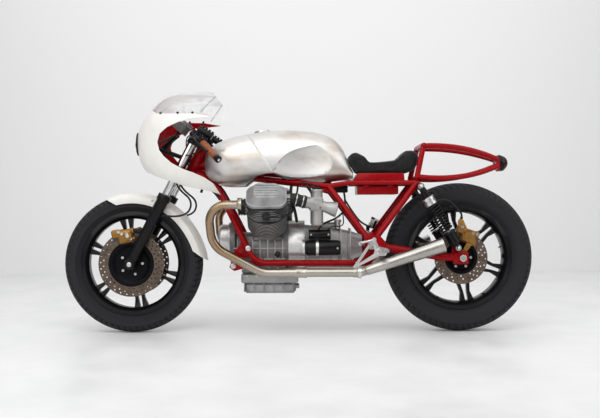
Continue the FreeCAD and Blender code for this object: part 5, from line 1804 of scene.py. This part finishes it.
@dataclass
class Brakes(SubAssembly):
    """The calipers with their bolts and caps, and the brake lines."""

    front_spots: Spots = ((1500, 430), (1517, 452), (1540, 452), (1556, 460))
    rear_spots: Spots = ((-2, 476), (-70, 441), (-50, 448))
    front_cap: Point = (1515.0, 98.0, 442.0)
    front_hub: Point = (1515.0, 101.0, 443.0)
    rear_cap: Point = (-28.0, 95.0, 447.0)
    front_line: Line = ((1287, 58, 720), (1303, 58, 690), (1282, 68, 650), (1224, 86, 604), (1234, 98, 546),
                        (1296, 99, 526), (1356, 99, 535))

    def cap(self, height: float) -> Profile:
        """The outline of a caliper's cap, with a dip in its top."""
        return ((0, 0), (0, 19), (height, 19), (height + 1.5, 17.5), (height + 1.5, 13), (height - 0.5, 12),
                (height - 0.5, 0))

    def makers(self) -> list[Maker]:
        """What builds its pieces, in order.

        Returns:
            The makers.
        """
        return [
            CleanCopy("rear_caliper", GOLD),
            CleanCopy("front_calipers", GOLD, Body.STEERING),
            CleanCopy("rear_brake_hose", TRIM_RUBBER, bevel=0.0),
            Screws("rear_caliper_bolts", "rear_caliper", Head.SOCKET, 7.5, self.rear_spots, sides=LEFT),
            Screws("front_caliper_bolts", "front_calipers", Head.SOCKET, 7.0, self.front_spots,
                   body=Body.STEERING),
            Turning("caliper_caps", self.front_cap, OUT, self.cap(6), GOLD, Body.STEERING),
            Turning("rear_caliper_cap", self.rear_cap, OUT, self.cap(11), GOLD, sides=LEFT),
            Turning("caliper_hubs", self.front_hub, OUT, ((0, 0), (0, 9), (5, 9), (6, 7.5), (6, 0)),
                    STEEL, Body.STEERING, count=6),
            Cable("front_brake_lines", self.front_line, 4.5, Body.STEERING, SIDES,
                  replaces=("front_brake_hoses",)),
        ]


@dataclass(frozen=True)
class SoftBox:
    """A square soft light: its place and aim in millimetres, its width in metres, its power in watts."""

    name: str
    spot: Point
    size: float
    power: float
    aim: Point


@dataclass
class Studio:
    """The pale floor and wall, the soft lights and the camera of the photograph."""

    distance: float = 3600.0
    height: float = 561.0
    along: float = 732.6
    lens: float = 46.35
    roll: float = 0.3
    middle: float = 700.0
    wall: float = -3280.0
    wall_height: float = 11000.0
    room: float = 24.0
    room_light: float = 0.36
    boxes: tuple[SoftBox, ...] = (
        SoftBox("overhead_box", (900, 2000, 2900), 3.2, 25.0, (700, 0, 500)),
        SoftBox("camera_side_box", (2000, 3000, 1900), 3.0, 38.0, (800, 0, 500)),
        SoftBox("tail_box", (-1900, 1900, 1700), 2.0, 13.0, (300, 0, 500)),
        SoftBox("wall_wash", (700, -1300, 3400), 7.0, 122.0, (700, -3280, 500)),
    )

    def build(self) -> None:
        """Places everything that isn't part of the motorcycle."""
        self.backdrop()
        self.lights()
        self.camera()

    def backdrop(self) -> None:
        """The floor and the wall behind."""
        pale = Graph("pale_studio_floor", (0.83, 0.83, 0.83), 0.45)
        scuffs = pale.noise(pale.place(), 3.0, 6.0, 0.6)
        pale.feed(pale.tint(scuffs, [(0.3, (0.78, 0.785, 0.79)), (0.6, (0.86, 0.86, 0.86))]), "Base Color")
        pale.feed(pale.spread(scuffs, 0.3, 0.5), "Roughness")
        bpy.ops.mesh.primitive_plane_add(size=self.room, location=at(self.middle, 0, GROUND))
        floor = bpy.context.object
        floor.name = "studio_floor"
        bpy.ops.mesh.primitive_plane_add(size=self.room,
                                         location=at(self.middle, self.wall, self.wall_height),
                                         rotation=(math.radians(-90), 0, 0))
        wall = bpy.context.object
        wall.name = "studio_wall"
        white = Graph("white_studio_wall", (0.88, 0.88, 0.88), 0.8)
        behind = white.node("ShaderNodeNewGeometry", {}).outputs["Backfacing"]
        clear = white.node("ShaderNodeBsdfTransparent", {}).outputs["BSDF"]
        open_back = white.node("ShaderNodeMixShader", {"Fac": behind, 1: white.shader.outputs["BSDF"],
                                                       2: clear})
        output = next(node for node in white.nodes if node.type == "OUTPUT_MATERIAL")
        white.links.new(open_back.outputs["Shader"], output.inputs["Surface"])
        floor.data.materials.append(pale.material)
        wall.data.materials.append(white.material)

    def lights(self) -> None:
        """Soft boxes over and in front of the motorcycle, and a bright room."""
        world = bpy.data.worlds.new("studio_room")
        bpy.context.scene.world = world
        world.use_nodes = True
        background = world.node_tree.nodes["Background"]
        background.inputs["Color"].default_value = (1, 1, 1, 1)
        background.inputs["Strength"].default_value = self.room_light
        for box in self.boxes:
            lamp = bpy.data.lights.new(box.name, "AREA")
            lamp.size = box.size
            lamp.energy = box.power
            light = bpy.data.objects.new(box.name, lamp)
            light.location = at(*box.spot)
            light.rotation_euler = (at(*box.aim) - at(*box.spot)).to_track_quat("-Z", "Y").to_euler()
            bpy.context.scene.collection.objects.link(light)

    def camera(self) -> None:
        """The camera square to the left side, a little rolled as in the photograph."""
        lens = bpy.data.cameras.new("photo_camera")
        lens.lens = self.lens
        lens.sensor_width = 36.0
        camera = bpy.data.objects.new("photo_camera", lens)
        camera.location = at(self.along, self.distance, self.height)
        camera.rotation_euler = Euler((math.radians(90), math.radians(self.roll), math.radians(180)), "XYZ")
        bpy.context.scene.collection.objects.link(camera)
        bpy.context.scene.camera = camera
        bpy.context.scene.view_settings.view_transform = "Standard"


FRONT_WHEEL = Wheel("front", Body.FRONT_WHEEL, FRONT_AXLE, 320.0, 95.0, slant=22.0, discs="front_discs",
                    iron=DISC_FRONT, bolts=5, bolt_circle=50.0, bolt_step=1.2566, bolt_start=0.6, sides=SIDES,
                    valve=(1437.0, 0.0, 99.0), valve_line=(0.3, 0, 0.954))
REAR_WHEEL = Wheel("rear", Body.REAR_WHEEL, REAR_AXLE, 342.0, 120.0, slant=38.0, discs="rear_disc",
                   iron=DISC_REAR, bolts=6, bolt_circle=46.0, bolt_step=1.0472, bolt_start=0.0, sides=LEFT,
                   valve=(-220.0, 0.0, 384.0), valve_line=(0.978, 0, -0.21))


def main() -> None:
    """Builds the studio and then the motorcycle, one sub-assembly after another."""
    logging.basicConfig(level=logging.INFO, format="%(message)s")
    Studio().build()
    for unit in (FRONT_WHEEL, REAR_WHEEL, SeatUnit(), Frame(), Engine(), Intake(), Exhausts(), Tank(),
                 Fairing(), Cockpit(), Footrests(), Fork(), Controls(), Brakes()):
        for piece in unit.build():
            LOG.info("%s: %s, %d faces", type(unit).__name__, piece.name, len(piece.data.polygons))


if __name__ == "__main__":
    main()
